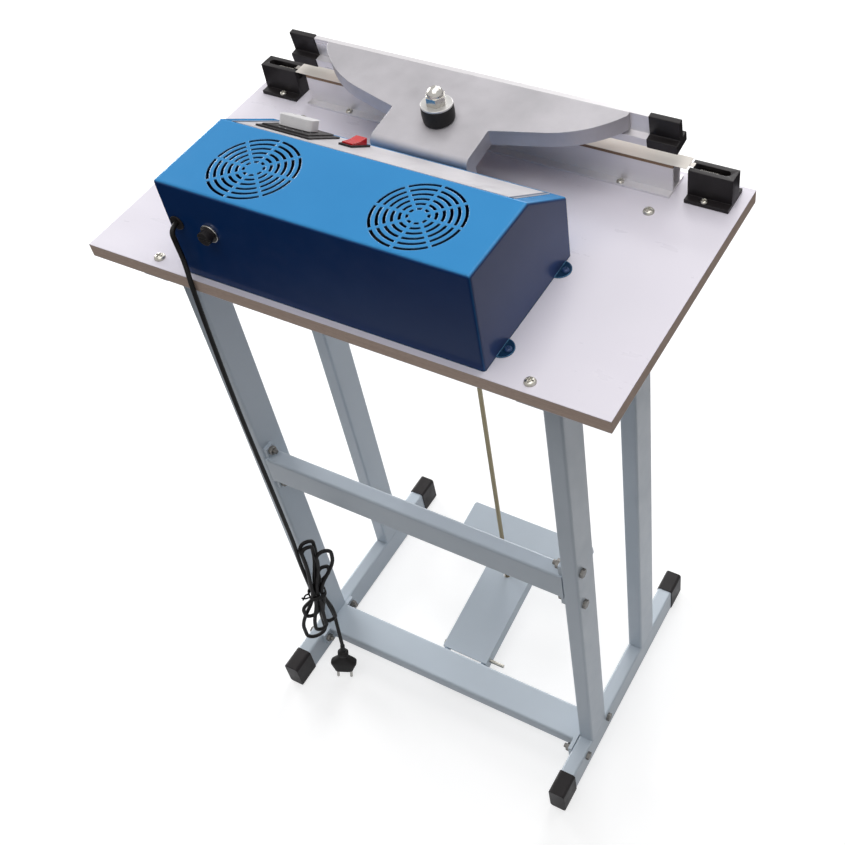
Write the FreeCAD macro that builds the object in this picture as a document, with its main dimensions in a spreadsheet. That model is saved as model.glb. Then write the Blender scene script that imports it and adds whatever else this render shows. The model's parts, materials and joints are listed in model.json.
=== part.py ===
import FreeCAD, Part
import math
import os
import Sketcher

# Foot-operated impulse heat sealer on a tubular stand.
# Millimetres, +Z up, the operator stands on the -Y side, left and right as the operator sees them.
# The origin lies on the floor, under the middle of the machine's length and depth.

DIMENSIONS = {
    # tabletop
    "table_length": 580.0,
    "table_depth": 325.5,
    "table_height": 757.0,
    "table_front_reach": 189.0,
    "board_thickness": 15.0,
    "rod_hole_diameter": 20.0,
    "cable_hole_diameter": 20.0,
    # stand tubes
    "tube_width": 20.0,
    "tube_depth": 40.0,
    "tube_wall": 1.5,
    "tube_corner": 3.0,
    "foot_spacing": 423.0,
    "foot_length": 375.0,
    "foot_rear_reach": 189.0,
    "cap_wall": 1.25,
    "cap_end": 2.5,
    "cap_length": 33.0,
    "cap_edge": 1.0,
    "rear_leg_y": 82.0,
    "front_leg_y": -71.5,
    # flat bars between the legs and the board
    "flat_bar_width": 30.0,
    "flat_bar_thickness": 4.0,
    "flat_bar_overhang": 10.0,
    "table_bolt_spacing": 414.0,
    "table_bolt_rear_y": 124.0,
    "table_bolt_front_y": -120.0,
    # cross members
    "crossbar_height": 42.0,
    "crossbar_centre_height": 398.0,
    "rail_width": 46.0,
    "rail_height": 20.0,
    "rail_centre_y": 87.75,
    "rail_centre_height": 32.0,
    "joint_plate_thickness": 5.0,
    "joint_plate_length": 74.0,
    "joint_tab_width": 14.0,
    "joint_bolt_spacing": 62.0,
    # M6 fasteners
    "bolt_diameter": 6.0,
    "bolt_clearance": 0.4,
    "hex_across_corners": 11.5,
    "hex_head_height": 4.0,
    "nut_height": 5.0,
    "bolt_stub": 4.0,
    "pan_head_diameter": 11.6,
    "pan_head_height": 3.6,
    "pan_head_top": 7.6,
    # small screws into the board
    "screw_diameter": 4.0,
    "screw_clearance": 0.5,
    "screw_head_diameter": 7.6,
    "screw_head_height": 2.4,
    "screw_head_top": 5.0,
    "screw_depth": 12.0,
    # control box
    "box_width": 331.4,
    "box_rear_y": 129.75,
    "box_fold_y": 30.25,
    "box_front_y": -36.25,
    "box_height": 111.0,
    "box_front_height": 67.5,
    "box_sheet": 1.2,
    "box_bend": 3.0,
    "base_sheet": 2.0,
    "base_gap": 0.8,
    "cutter_depth": 12.0,
    "ear_reach": 11.3,
    "ear_width": 24.0,
    "ear_rear_y": 98.0,
    "ear_front_y": -13.0,
    "grille_spacing": 174.0,
    "grille_y": 80.75,
    "grille_first_radius": 8.1,
    "grille_pitch": 6.5,
    "grille_slot_width": 2.8,
    "grille_spoke_width": 3.2,
    # control panel, measured from the fold down the slope
    "overlay_width": 304.0,
    "overlay_length": 70.0,
    "overlay_start": 1.5,
    "overlay_thickness": 0.5,
    "timer_x": 101.0,
    "timer_drop": 36.0,
    "timer_plate_width": 62.0,
    "timer_plate_length": 50.0,
    "timer_step_width": 53.0,
    "timer_step_length": 42.0,
    "timer_plate_thickness": 1.8,
    "timer_hole_diameter": 14.0,
    "timer_body_width": 44.0,
    "timer_body_depth": 38.0,
    "timer_bush_diameter": 11.0,
    "timer_shaft_diameter": 6.0,
    "running_clearance": 0.05,
    "knob_length": 37.0,
    "knob_width": 18.5,
    "knob_height": 10.5,
    "knob_corner": 6.0,
    "knob_gap": 0.5,
    "knob_turn": 3.0,
    "rocker_x": 42.3,
    "rocker_drop": 45.0,
    "rocker_bezel_width": 15.0,
    "rocker_bezel_length": 31.0,
    "rocker_bezel_thickness": 2.0,
    "rocker_width": 12.0,
    "rocker_length": 23.6,
    "rocker_side_gap": 0.4,
    "rocker_end_gap": 1.2,
    "rocker_end_rise": 5.6,
    "rocker_middle_rise": 4.6,
    "rocker_skirt": 2.0,
    "rocker_pivot_height": 1.0,
    "rocker_pin_diameter": 2.0,
    "rocker_tilt": 13.0,
    "rocker_well": 8.0,
    "rocker_body_depth": 18.0,
    "rocker_body_wall": 1.2,
    # rear face of the control box
    "inlet_height": 823.0,
    "gland_x": 153.6,
    "gland_flange_diameter": 15.0,
    "gland_flange_thickness": 1.6,
    "gland_neck_diameter": 10.0,
    "gland_neck_length": 9.0,
    "fuse_x": 114.7,
    "fuse_ring_diameter": 19.0,
    "fuse_ring_thickness": 2.5,
    "fuse_body_diameter": 15.0,
    "fuse_body_length": 34.0,
    "fuse_cap_diameter": 14.0,
    "fuse_cap_length": 11.0,
    "fuse_cap_seat": 3.0,
    "fuse_slot_width": 1.5,
    # transformer inside the box
    "core_length": 84.0,
    "core_depth": 50.0,
    "core_height": 70.0,
    "core_window_width": 18.0,
    "core_window_height": 42.0,
    "core_limb_width": 28.0,
    "coil_overhang": 12.0,
    "core_centre_y": 70.0,
    # hinge of the press arm
    "hinge_y": -53.25,
    "hinge_rise": 21.0,
    "hinge_pin_diameter": 10.0,
    "knuckle_diameter": 20.0,
    "knuckle_width": 51.4,
    "knuckle_gap": 0.4,
    "knuckle_slot_margin": 2.4,
    "bracket_length": 108.0,
    "bracket_depth": 31.0,
    "bracket_sheet": 5.0,
    "bracket_screw_spacing": 84.0,
    # press arm, drawn level as it lies on the lower jaw
    "arm_open_angle": 7.5,
    "arm_thickness": 18.0,
    "arm_skin": 6.0,
    "pocket_shoulder_inset": 1.5,
    "pocket_tip_inset": 9.0,
    "arm_rear_y": -50.25,
    "arm_roll": 8.0,
    "arm_tail_wall": 14.0,
    "arm_tail_width": 109.0,
    "arm_notch_y": -96.25,
    "arm_shoulder_y": -109.25,
    "arm_shoulder_width": 206.0,
    "arm_curve_radius": 121.0,
    "arm_tip_y": -156.25,
    "arm_tip_width": 345.4,
    "arm_hole_diameter": 17.0,
    "stud_y": -96.25,
    # jaws
    "jaw_y": -163.5,
    "upper_jaw_length": 384.0,
    "upper_jaw_web": 5.0,
    "upper_jaw_height": 30.4,
    "upper_jaw_base_width": 21.0,
    "upper_jaw_base_height": 9.0,
    "upper_cap_length": 32.0,
    "upper_cap_margin": 0.8,
    "silicone_width": 10.0,
    "silicone_thickness": 5.0,
    "closing_gap": 0.4,
    "lower_jaw_length": 434.0,
    "lower_jaw_width": 18.5,
    "lower_jaw_height": 29.5,
    "lower_jaw_wall": 2.5,
    "lower_jaw_foot_width": 36.6,
    "lower_jaw_foot": 2.5,
    "lower_jaw_screw_spacing": 326.0,
    "insulation_thickness": 3.0,
    "element_width": 6.0,
    "element_thickness": 0.3,
    "element_overhang": 19.0,
    "cover_thickness": 0.4,
    "cover_overhang": 14.0,
    "block_gap": 15.5,
    "block_length": 46.0,
    "block_height": 32.0,
    "block_foot": 4.0,
    "block_slot_width": 8.0,
    "block_slot_length": 36.0,
    "block_slot_depth": 12.0,
    "block_screw_offset": 19.5,
    "foot_screw_inset": 4.0,
    "tension_wire": 1.0,
    "tension_coil_diameter": 6.0,
    "tension_coil_length": 20.0,
    "jaw_screw_inner": 120.0,
    "jaw_screw_outer": 300.0,
    "jaw_screw_length": 12.0,
    "jaw_screw_height": 10.0,
    # pull rod and the stack on top of it
    "rod_diameter": 6.0,
    "rod_top": 26.0,
    "rod_tail": 20.0,
    "rod_foot_y": -70.25,
    "rod_foot_height": 62.0,
    "bush_diameter": 33.0,
    "bush_height": 16.0,
    "washer_diameter": 32.0,
    "washer_thickness": 2.0,
    "dome_hex_across_corners": 21.0,
    "dome_hex_height": 9.0,
    "dome_diameter": 17.0,
    "rod_nut_gap": 1.6,
    "collar_diameter": 26.0,
    "collar_height": 8.0,
    "collar_level": 714.0,
    # return spring
    "spring_diameter": 27.0,
    "spring_wire": 2.5,
    "spring_gap": 0.6,
    "spring_seat_gap": 0.2,
    # closing switch under the board
    "switch_length": 28.0,
    "switch_width": 12.0,
    "switch_height": 17.0,
    "switch_offset": 6.5,
    "plunger_diameter": 3.0,
    "plunger_travel": 1.2,
    "plunger_seat": 4.0,
    "plunger_gap": 0.3,
    # pedal, drawn level with its pin at the origin
    "pedal_pin_y": 50.75,
    "pedal_pin_height": 30.0,
    "pedal_pin_diameter": 5.0,
    "pedal_pin_right": 35.6,
    "pedal_pin_left": 57.0,
    "pedal_pin_head_diameter": 9.0,
    "pedal_pin_head": 3.0,
    "pedal_tilt": 10.5,
    "pedal_plate_rise": 9.5,
    "pedal_sheet": 3.0,
    "pedal_width": 70.0,
    "pedal_flange": 20.0,
    "pedal_tail": 9.0,
    "pedal_length": 206.0,
    "pedal_hole_diameter": 12.0,
    "tread_width": 198.0,
    "tread_depth": 60.0,
    "tread_front": 211.0,
    "tread_lip": 14.0,
    "tread_corner": 4.0,
    "lug_thickness": 5.0,
    "lug_gap": 0.6,
    "lug_end": 4.4,
    # mains cord
    "cord_diameter": 5.0,
    "cord_hang_y": 145.5,
    "cord_inside": 33.0,
    "hank_entry_height": 300.0,
    "hank_top": 326.0,
    "hank_tie_height": 209.0,
    "hank_bottom": 120.0,
    "hank_upper_width": 42.0,
    "hank_lower_width": 50.0,
    "hank_waist_width": 16.0,
    "hank_upper_shift": -17.5,
    "hank_lower_shift": 8.0,
    "hank_waist_shift": -4.0,
    "hank_thickness": 15.0,
    "hank_end_radius": 18.0,
    "hank_upper_share": 0.6,
    "hank_lower_share": 0.5,
    "hank_turn": 53.8,
    "tie_height": 9.0,
    "tie_reach": 5.0,
    "tie_margin": 1.2,
    "tail_start_shift": -8.0,
    "tail_bow_shift": -15.0,
    "plug_shift": -8.7,
    "plug_offset": 4.8,
    "plug_turn": -25.8,
    "plug_tilt": 9.3,
    "plug_neck_height": 81.0,
    "plug_neck_diameter": 9.0,
    "plug_neck_length": 21.0,
    "plug_length": 58.0,
    "plug_width": 35.0,
    "plug_shoulder_width": 17.0,
    "plug_thickness": 13.7,
    "plug_edge": 3.0,
    "plug_pin_diameter": 4.0,
    "plug_pin_spacing": 18.6,
    "plug_pin_length": 19.0,
}

GRILLE_RINGS = 6
GRILLE_BARS = 4
SPRING_TURNS = 8
TENSION_TURNS = 10
HALF_TURN = 180.0
RIGHT_ANGLE = 90.0
TOLERANCE = 0.01

doc = FreeCAD.newDocument("heat_sealer")
sheet = doc.addObject("Spreadsheet::Sheet", "sizes")
for row, (alias, number) in enumerate(DIMENSIONS.items(), start=1):
    sheet.set(f"A{row}", alias)
    sheet.set(f"B{row}", str(number))
    sheet.setAlias(f"B{row}", alias)
doc.recompute()


class Size:
    """A number kept together with the sheet formula that gives it."""

    def __init__(self, formula, value):
        self.formula = formula
        self.value = value

    def __add__(self, other):
        other = as_size(other)
        return Size(f"({self.formula} + {other.formula})", self.value + other.value)

    def __sub__(self, other):
        other = as_size(other)
        return Size(f"({self.formula} - {other.formula})", self.value - other.value)

    def __mul__(self, other):
        other = as_size(other)
        return Size(f"({self.formula} * {other.formula})", self.value * other.value)

    def __truediv__(self, other):
        other = as_size(other)
        return Size(f"({self.formula} / {other.formula})", self.value / other.value)

    def __radd__(self, other):
        return as_size(other) + self

    def __rsub__(self, other):
        return as_size(other) - self

    def __rmul__(self, other):
        return as_size(other) * self

    def __neg__(self):
        return Size(f"(0 - {self.formula})", -self.value)


def as_size(value):
    if isinstance(value, Size):
        return value
    return Size(repr(float(value)), float(value))


def size(alias):
    return Size(f"sizes.{alias}", DIMENSIONS[alias])


def sine(angle):
    angle = as_size(angle)
    return Size(f"sin({angle.formula} * 1 deg)", math.sin(math.radians(angle.value)))


def cosine(angle):
    angle = as_size(angle)
    return Size(f"cos({angle.formula} * 1 deg)", math.cos(math.radians(angle.value)))


def slope_angle(rise, run):
    """Angle in degrees, without a unit, of a slope with this rise and run."""
    formula = f"(atan2({rise.formula}; {run.formula}) / 1 deg)"
    return Size(formula, math.degrees(math.atan2(rise.value, run.value)))


def half_angle_tangent(angle):
    value = math.tan(math.radians(angle.value) / 2)
    return Size(f"tan({angle.formula} * 1 deg / 2)", value)


def distance(run, rise):
    value = math.hypot(run.value, rise.value)
    return Size(f"sqrt({run.formula} ^ 2 + {rise.formula} ^ 2)", value)


def bind(thing, path, value):
    thing.setExpression(path, as_size(value).formula)


def place(thing, x=0, y=0, z=0):
    bind(thing, "Placement.Base.x", x)
    bind(thing, "Placement.Base.y", y)
    bind(thing, "Placement.Base.z", z)
    return thing


def turn(thing, axis, angle):
    """Turns a thing about an axis through its own origin."""
    rotation = FreeCAD.Rotation(axis, as_size(angle).value)
    thing.Placement = FreeCAD.Placement(thing.Placement.Base, rotation)
    bind(thing, "Placement.Rotation.Axis.x", axis.x)
    bind(thing, "Placement.Rotation.Axis.y", axis.y)
    bind(thing, "Placement.Rotation.Axis.z", axis.z)
    bind(thing, "Placement.Rotation.Angle", as_size(angle) * Size("1 deg", 1.0))
    return thing


X_AXIS = FreeCAD.Vector(1, 0, 0)
Y_AXIS = FreeCAD.Vector(0, 1, 0)
Z_AXIS = FreeCAD.Vector(0, 0, 1)


def block(label, extent, corner):
    """A box of this extent with its lowest corner at a point."""
    thing = doc.addObject("Part::Box", label)
    for path, value in zip(("Length", "Width", "Height"), extent):
        bind(thing, path, value)
    return place(thing, *corner)


def centred_block(label, extent, centre):
    """A box centred in X and Y on a point, standing on it in Z."""
    corner = (centre[0] - as_size(extent[0]) / 2, centre[1] - as_size(extent[1]) / 2, centre[2])
    return block(label, extent, corner)


def cylinder(label, diameter, length, start, along="Z"):
    thing = doc.addObject("Part::Cylinder", label)
    bind(thing, "Radius", as_size(diameter) / 2)
    bind(thing, "Height", length)
    if along == "X":
        thing.Placement.Rotation = FreeCAD.Rotation(Y_AXIS, RIGHT_ANGLE)
    if along == "Y":
        thing.Placement.Rotation = FreeCAD.Rotation(X_AXIS, -RIGHT_ANGLE)
    return place(thing, *start)


def hexagon(label, across_corners, height, start, along="Z"):
    thing = doc.addObject("Part::Prism", label)
    thing.Polygon = 6
    bind(thing, "Circumradius", as_size(across_corners) / 2)
    bind(thing, "Height", height)
    if along == "X":
        thing.Placement.Rotation = FreeCAD.Rotation(Y_AXIS, RIGHT_ANGLE)
    return place(thing, *start)


def join(label, pieces):
    thing = doc.addObject("Part::MultiFuse", label)
    thing.Shapes = pieces
    thing.Refine = True
    return thing


def cut(label, base, tools):
    thing = doc.addObject("Part::Cut", label)
    thing.Base = base
    thing.Tool = tools[0] if len(tools) == 1 else join(f"{label}_tools", tools)
    return thing


def overlap(label, first, second):
    """What two solids have in common."""
    thing = doc.addObject("Part::Common", label)
    thing.Base = first
    thing.Tool = second
    return thing


def group(label, pieces):
    """Separate solids kept in one node."""
    thing = doc.addObject("Part::Compound", label)
    thing.Links = pieces
    return thing


def new_body(label):
    return doc.addObject("PartDesign::Body", label)


def new_sketch(body, plane_role):
    sketch = body.newObject("Sketcher::SketchObject", f"{body.Name}_sketch")
    plane = next(p for p in body.Origin.OriginFeatures if p.Role == plane_role)
    sketch.AttachmentSupport = [(plane, "")]
    sketch.MapMode = "FlatFace"
    return sketch


def arc_between(start, end, radius, left):
    """The shorter arc from start to end, bending to the left or to the right."""
    chord = end - start
    middle = start + chord * 0.5
    rise = math.sqrt(max(radius * radius - chord.Length * chord.Length / 4, 0.0))
    side = FreeCAD.Vector(-chord.y, chord.x, 0).normalize()
    centre = middle + side * (rise if left else -rise)
    first, last = (start, end) if left else (end, start)
    first_angle = math.atan2(first.y - centre.y, first.x - centre.x)
    last_angle = math.atan2(last.y - centre.y, last.x - centre.x)
    circle = Part.Circle(centre, Z_AXIS, radius)
    return Part.ArcOfCircle(circle, first_angle, last_angle)


def hold(sketch, kind, geometry, point, value):
    """Holds one coordinate of a point at a distance from the sketch's origin."""
    constraint = Sketcher.Constraint(kind, -1, 1, geometry, point, value.value)
    index = sketch.addConstraint(constraint)
    sketch.setExpression(f"Constraints[{index}]", value.formula)


def closed_outline(sketch, corners):
    """Closed outline through corners (x, y) or (x, y, radius, left) when an arc leaves the corner."""
    start_ends = []
    points = [FreeCAD.Vector(as_size(c[0]).value, as_size(c[1]).value, 0) for c in corners]
    for index, corner in enumerate(corners):
        start = points[index]
        end = points[(index + 1) % len(points)]
        if len(corner) == 2:
            geometry = sketch.addGeometry(Part.LineSegment(start, end))
            start_ends.append((geometry, 1, 2))
        else:
            radius, left = as_size(corner[2]), corner[3]
            geometry = sketch.addGeometry(arc_between(start, end, radius.value, left))
            start_ends.append((geometry, 1, 2) if left else (geometry, 2, 1))
    for index, (geometry, start, end) in enumerate(start_ends):
        following, following_start, _ = start_ends[(index + 1) % len(start_ends)]
        sketch.addConstraint(Sketcher.Constraint("Coincident", geometry, end, following, following_start))
    for (geometry, start, end), corner in zip(start_ends, corners):
        hold(sketch, "DistanceX", geometry, start, as_size(corner[0]))
        hold(sketch, "DistanceY", geometry, start, as_size(corner[1]))
        if len(corner) > 2:
            radius = as_size(corner[2])
            index = sketch.addConstraint(Sketcher.Constraint("Radius", geometry, radius.value))
            sketch.setExpression(f"Constraints[{index}]", radius.formula)


def rounded_rectangle(width, depth, radius):
    """Corners of a rectangle centred on the origin, its corners rounded."""
    half_width = as_size(width) / 2
    half_depth = as_size(depth) / 2
    inner_width = half_width - radius
    inner_depth = half_depth - radius
    return [
        (inner_width, -half_depth, radius, True),
        (half_width, -inner_depth),
        (half_width, inner_depth, radius, True),
        (inner_width, half_depth),
        (-inner_width, half_depth, radius, True),
        (-half_width, inner_depth),
        (-half_width, -inner_depth, radius, True),
        (-inner_width, -half_depth),
    ]


def pad(body, sketch, length, symmetric=False):
    feature = body.newObject("PartDesign::Pad", f"{body.Name}_pad")
    feature.Profile = sketch
    if symmetric:
        feature.SideType = "Symmetric"
    bind(feature, "Length", length)
    sketch.Visibility = False
    return feature


def profile(label, plane_role, outlines, length, symmetric=False):
    """A body padded from one sketch of closed outlines."""
    body = new_body(label)
    sketch = new_sketch(body, plane_role)
    for corners in outlines:
        closed_outline(sketch, corners)
    pad(body, sketch, length, symmetric)
    return body


def edge_names(feature, wanted):
    return [f"Edge{n}" for n, edge in enumerate(feature.Shape.Edges, start=1) if wanted(edge)]


def face_names(feature, wanted):
    return [f"Face{n}" for n, face in enumerate(feature.Shape.Faces, start=1) if wanted(face)]


def round_edges(body, radius, wanted):
    doc.recompute()
    base = body.Tip
    feature = body.newObject("PartDesign::Fillet", f"{body.Name}_rounding")
    feature.Base = (base, edge_names(base, wanted))
    bind(feature, "Radius", radius)
    return feature


def hollow_out(body, wall, wanted):
    """Leaves a wall of this thickness and opens the wanted faces."""
    doc.recompute()
    base = body.Tip
    feature = body.newObject("PartDesign::Thickness", f"{body.Name}_hollow")
    feature.Base = (base, face_names(base, wanted))
    feature.Mode = "Skin"
    feature.Join = "Intersection"
    feature.Reversed = True
    bind(feature, "Value", wall)
    return feature


def hollow_tube(label, plane_role, width, depth, length):
    outer = rounded_rectangle(width, depth, size("tube_corner"))
    bore_width = width - 2 * size("tube_wall")
    bore_depth = depth - 2 * size("tube_wall")
    bore = rounded_rectangle(bore_width, bore_depth, size("tube_corner") - size("tube_wall"))
    return profile(label, plane_role, [outer, bore], length, symmetric=True)


def round_sweep(label, edges, diameter, start_direction):
    """A round wire or cord along a chain of tangent edges."""
    path = Part.Wire(edges)
    radius = diameter.value / 2
    circle = Part.makeCircle(radius, edges[0].Vertexes[0].Point, start_direction)
    shell = Part.BRepOffsetAPI.MakePipeShell(path)
    shell.setFrenetMode(True)
    shell.add(Part.Wire([circle]))
    shell.build()
    shell.makeSolid()
    expected = math.pi * radius * radius * path.Length
    thing = doc.addObject("Part::Feature", label)
    thing.Shape = shell.shape()
    volume = thing.Shape.Volume
    print(f"{label}: volume {volume:.1f}, section by length {expected:.1f}, length {path.Length:.1f} mm")
    return thing


def coil_spring(label, outer_diameter, wire, height, turns):
    """Coil rising along Z from the origin, as half turns tilted so that they meet tangentially."""
    radius = ((outer_diameter - wire) / 2).value
    half_rise = height.value / (2 * turns)
    edges = []
    for half in range(2 * turns):
        side = 1 if half % 2 == 0 else -1
        start = FreeCAD.Vector(side * radius, 0, half * half_rise)
        end = FreeCAD.Vector(-side * radius, 0, (half + 1) * half_rise)
        middle = (start + end) / 2 + Y_AXIS * side * (end - start).Length / 2
        edges.append(Part.Arc(start, middle, end).toShape())
    return round_sweep(label, edges, wire, Y_AXIS)


SIDES = (("left", -1), ("right", 1))

# Levels and faces shared by several pieces.
board_underside = size("table_height") - size("board_thickness")
flat_bar_underside = board_underside - size("flat_bar_thickness")
table_top = size("table_height")
table_centre_y = size("table_depth") / 2 - size("table_front_reach")
foot_tube_bottom = size("cap_wall")
foot_tube_top = foot_tube_bottom + size("tube_depth")
foot_x = size("foot_spacing") / 2
inner_leg_face = foot_x - size("tube_width") / 2
outer_leg_face = foot_x + size("tube_width") / 2
bolt_hole = size("bolt_diameter") + size("bolt_clearance")
hinge_z = table_top + size("hinge_rise")
box_top = table_top + size("box_height")
panel_front_z = table_top + size("box_front_height")
insulation_bottom = table_top + size("lower_jaw_height")
element_bottom = insulation_bottom + size("insulation_thickness")
cover_bottom = element_bottom + size("element_thickness")
cover_top = cover_bottom + size("cover_thickness")
silicone_bottom = cover_top + size("closing_gap")
upper_jaw_bottom = silicone_bottom + size("silicone_thickness")
arm_top = upper_jaw_bottom + size("upper_jaw_height")
arm_underside = arm_top - size("arm_thickness")
arm_front_y = size("jaw_y") + size("upper_jaw_web") / 2
block_start = size("lower_jaw_length") / 2 + size("block_gap")

nodes = []


def keep(thing):
    nodes.append(thing)
    return thing


# Stand: two feet with caps, four legs and two flat bars under the board.
foot_tube_length = size("foot_length") - 2 * size("cap_end")
foot_centre_y = size("foot_rear_reach") - size("foot_length") / 2
joint_bolt_half = size("joint_bolt_spacing") / 2

for side, sign in SIDES:
    label = f"{side}_foot_blank"
    tube = hollow_tube(label, "XZ_Plane", size("tube_width"), size("tube_depth"), foot_tube_length)
    place(tube, sign * foot_x, foot_centre_y, foot_tube_bottom + size("tube_depth") / 2)
    holes = []
    for offset in (-joint_bolt_half, joint_bolt_half):
        hole_y = size("rail_centre_y") + offset
        start = (sign * foot_x - size("tube_width"), hole_y, size("rail_centre_height"))
        holes.append(cylinder(f"{side}_foot_hole", bolt_hole, 2 * size("tube_width"), start, "X"))
    keep(cut(f"{side}_foot", tube, holes))

cap_width = size("tube_width") + 2 * size("cap_wall")
cap_depth = size("tube_depth") + 2 * size("cap_wall")
cap_corner = size("tube_corner") + size("cap_wall")
cap_bore_length = size("cap_length") - size("cap_end")


def lies_at_origin(edge):
    """True for an edge in the plane Y = 0."""
    return abs(edge.BoundBox.YMax) < TOLERANCE and edge.BoundBox.YLength < TOLERANCE


def foot_cap(label, x, outer_end_y, facing):
    """Plastic cap over a foot end; facing is +1 for an end that points to +Y."""
    outline = rounded_rectangle(cap_width, cap_depth, cap_corner)
    outer = profile(f"{label}_outer", "XZ_Plane", [outline], size("cap_length"))
    round_edges(outer, size("cap_edge"), lies_at_origin)
    bore_outline = rounded_rectangle(size("tube_width"), size("tube_depth"), size("tube_corner"))
    bore = profile(f"{label}_bore", "XZ_Plane", [bore_outline], cap_bore_length)
    place(bore, 0, -size("cap_end"), 0)
    cap = cut(label, outer, [bore])
    place(cap, x, outer_end_y, cap_depth / 2)
    if facing < 0:
        turn(cap, Z_AXIS, HALF_TURN)
    return cap


foot_front_y = size("foot_rear_reach") - size("foot_length")
caps = []
for side, sign in SIDES:
    caps.append(foot_cap(f"{side}_rear_cap", sign * foot_x, size("foot_rear_reach"), 1))
    caps.append(foot_cap(f"{side}_front_cap", sign * foot_x, foot_front_y, -1))
keep(group("foot_caps", caps))

leg_length = flat_bar_underside - foot_tube_top
crossbar_y = size("rear_leg_y") + (size("tube_depth") - size("tube_width")) / 2
for side, sign in SIDES:
    for end in ("front", "rear"):
        leg_y = size(f"{end}_leg_y")
        name = f"{side}_{end}_leg"
        label = name if end == "front" else f"{name}_blank"
        leg = hollow_tube(label, "XY_Plane", size("tube_width"), size("tube_depth"), leg_length)
        place(leg, sign * foot_x, leg_y, foot_tube_top + leg_length / 2)
        if end == "rear":
            holes = []
            for offset in (-joint_bolt_half, joint_bolt_half):
                hole_z = size("crossbar_centre_height") + offset
                start = (sign * foot_x - size("tube_width"), crossbar_y, hole_z)
                holes.append(cylinder(f"{name}_hole", bolt_hole, 2 * size("tube_width"), start, "X"))
            leg = cut(name, leg, holes)
        keep(leg)

table_bolt_x = size("table_bolt_spacing") / 2
flat_bar_rear = size("table_bolt_rear_y") + size("flat_bar_overhang")
flat_bar_front = size("table_bolt_front_y") - size("flat_bar_overhang")
flat_bars = []
for side, sign in SIDES:
    extent = (size("flat_bar_width"), flat_bar_rear - flat_bar_front, size("flat_bar_thickness"))
    corner = (sign * foot_x - size("flat_bar_width") / 2, flat_bar_front, flat_bar_underside)
    bar = block(f"{side}_flat_bar_blank", extent, corner)
    holes = []
    for end in ("front", "rear"):
        start = (sign * table_bolt_x, size(f"table_bolt_{end}_y"), flat_bar_underside)
        holes.append(cylinder(f"{side}_bar_hole", bolt_hole, size("flat_bar_thickness"), start))
    flat_bars.append(cut(f"{side}_flat_bar", bar, holes))
keep(group("flat_bars", flat_bars))

# Rear crossbar, with an end plate and a narrower bolting tab at each leg.
bar_length = 2 * (inner_leg_face - size("joint_plate_thickness"))
crossbar_section = (size("tube_width"), size("crossbar_height"))
crossbar_tube = hollow_tube("crossbar_tube", "YZ_Plane", *crossbar_section, bar_length)
place(crossbar_tube, 0, crossbar_y, size("crossbar_centre_height"))
crossbar_pieces = [crossbar_tube]
crossbar_holes = []
for side, sign in SIDES:
    plate_x = inner_leg_face - size("joint_plate_thickness") if sign > 0 else -inner_leg_face
    plate_extent = (size("joint_plate_thickness"), size("tube_width"), size("crossbar_height"))
    tab_extent = (size("joint_plate_thickness"), size("joint_tab_width"), size("joint_plate_length"))
    for label, extent in (("plate", plate_extent), ("tab", tab_extent)):
        corner = (plate_x, crossbar_y - extent[1] / 2, size("crossbar_centre_height") - extent[2] / 2)
        crossbar_pieces.append(block(f"{side}_crossbar_{label}", extent, corner))
    for offset in (-joint_bolt_half, joint_bolt_half):
        start = (plate_x, crossbar_y, size("crossbar_centre_height") + offset)
        crossbar_holes.append(cylinder("crossbar_hole", bolt_hole, size("joint_plate_thickness"), start, "X"))
keep(cut("rear_crossbar", join("crossbar_blank", crossbar_pieces), crossbar_holes))

# Base rail with end plates and the two lugs that carry the pedal pin.
rail_tube = hollow_tube("rail_tube", "YZ_Plane", size("rail_width"), size("rail_height"), bar_length)
place(rail_tube, 0, size("rail_centre_y"), size("rail_centre_height"))
rail_pieces = [rail_tube]
rail_holes = []
rail_front_y = size("rail_centre_y") - size("rail_width") / 2
plate_half = size("joint_plate_length") / 2
lug_outer = size("pedal_width") / 2 - size("pedal_sheet") - size("lug_gap")
for side, sign in SIDES:
    plate_x = inner_leg_face - size("joint_plate_thickness") if sign > 0 else -inner_leg_face
    extent = (size("joint_plate_thickness"), size("joint_plate_length"), size("rail_height"))
    rail_bottom = size("rail_centre_height") - size("rail_height") / 2
    corner = (plate_x, size("rail_centre_y") - plate_half, rail_bottom)
    rail_pieces.append(block(f"{side}_rail_plate", extent, corner))
    for offset in (-joint_bolt_half, joint_bolt_half):
        start = (plate_x, size("rail_centre_y") + offset, size("rail_centre_height"))
        rail_holes.append(cylinder("rail_hole", bolt_hole, size("joint_plate_thickness"), start, "X"))
    lug_x = lug_outer - size("lug_thickness") if sign > 0 else -lug_outer
    lug_front = size("pedal_pin_y") - size("lug_end")
    lug_extent = (size("lug_thickness"), rail_front_y - lug_front, size("lug_end") * 2)
    lug_corner = (lug_x, lug_front, size("pedal_pin_height") - size("lug_end"))
    rail_pieces.append(block(f"{side}_pedal_lug", lug_extent, lug_corner))
lug_bore_start = (-size("pedal_width"), size("pedal_pin_y"), size("pedal_pin_height"))
lug_bore_length = 2 * size("pedal_width")
rail_holes.append(cylinder("lug_bore", size("pedal_pin_diameter"), lug_bore_length, lug_bore_start, "X"))
keep(cut("base_rail", join("rail_blank", rail_pieces), rail_holes))


def hex_bolt(label, sign, y, z):
    """Bolt along X with its head on the outer side of the stand."""
    grip = size("tube_width") + size("joint_plate_thickness")
    shank_length = grip + size("nut_height") + size("bolt_stub")
    inner_end = outer_leg_face - shank_length if sign > 0 else -outer_leg_face
    head_x = outer_leg_face if sign > 0 else -outer_leg_face - size("hex_head_height")
    shank = cylinder(f"{label}_shank", size("bolt_diameter"), shank_length, (inner_end, y, z), "X")
    head = hexagon(f"{label}_head", size("hex_across_corners"), size("hex_head_height"), (head_x, y, z), "X")
    return join(label, [shank, head])


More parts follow.
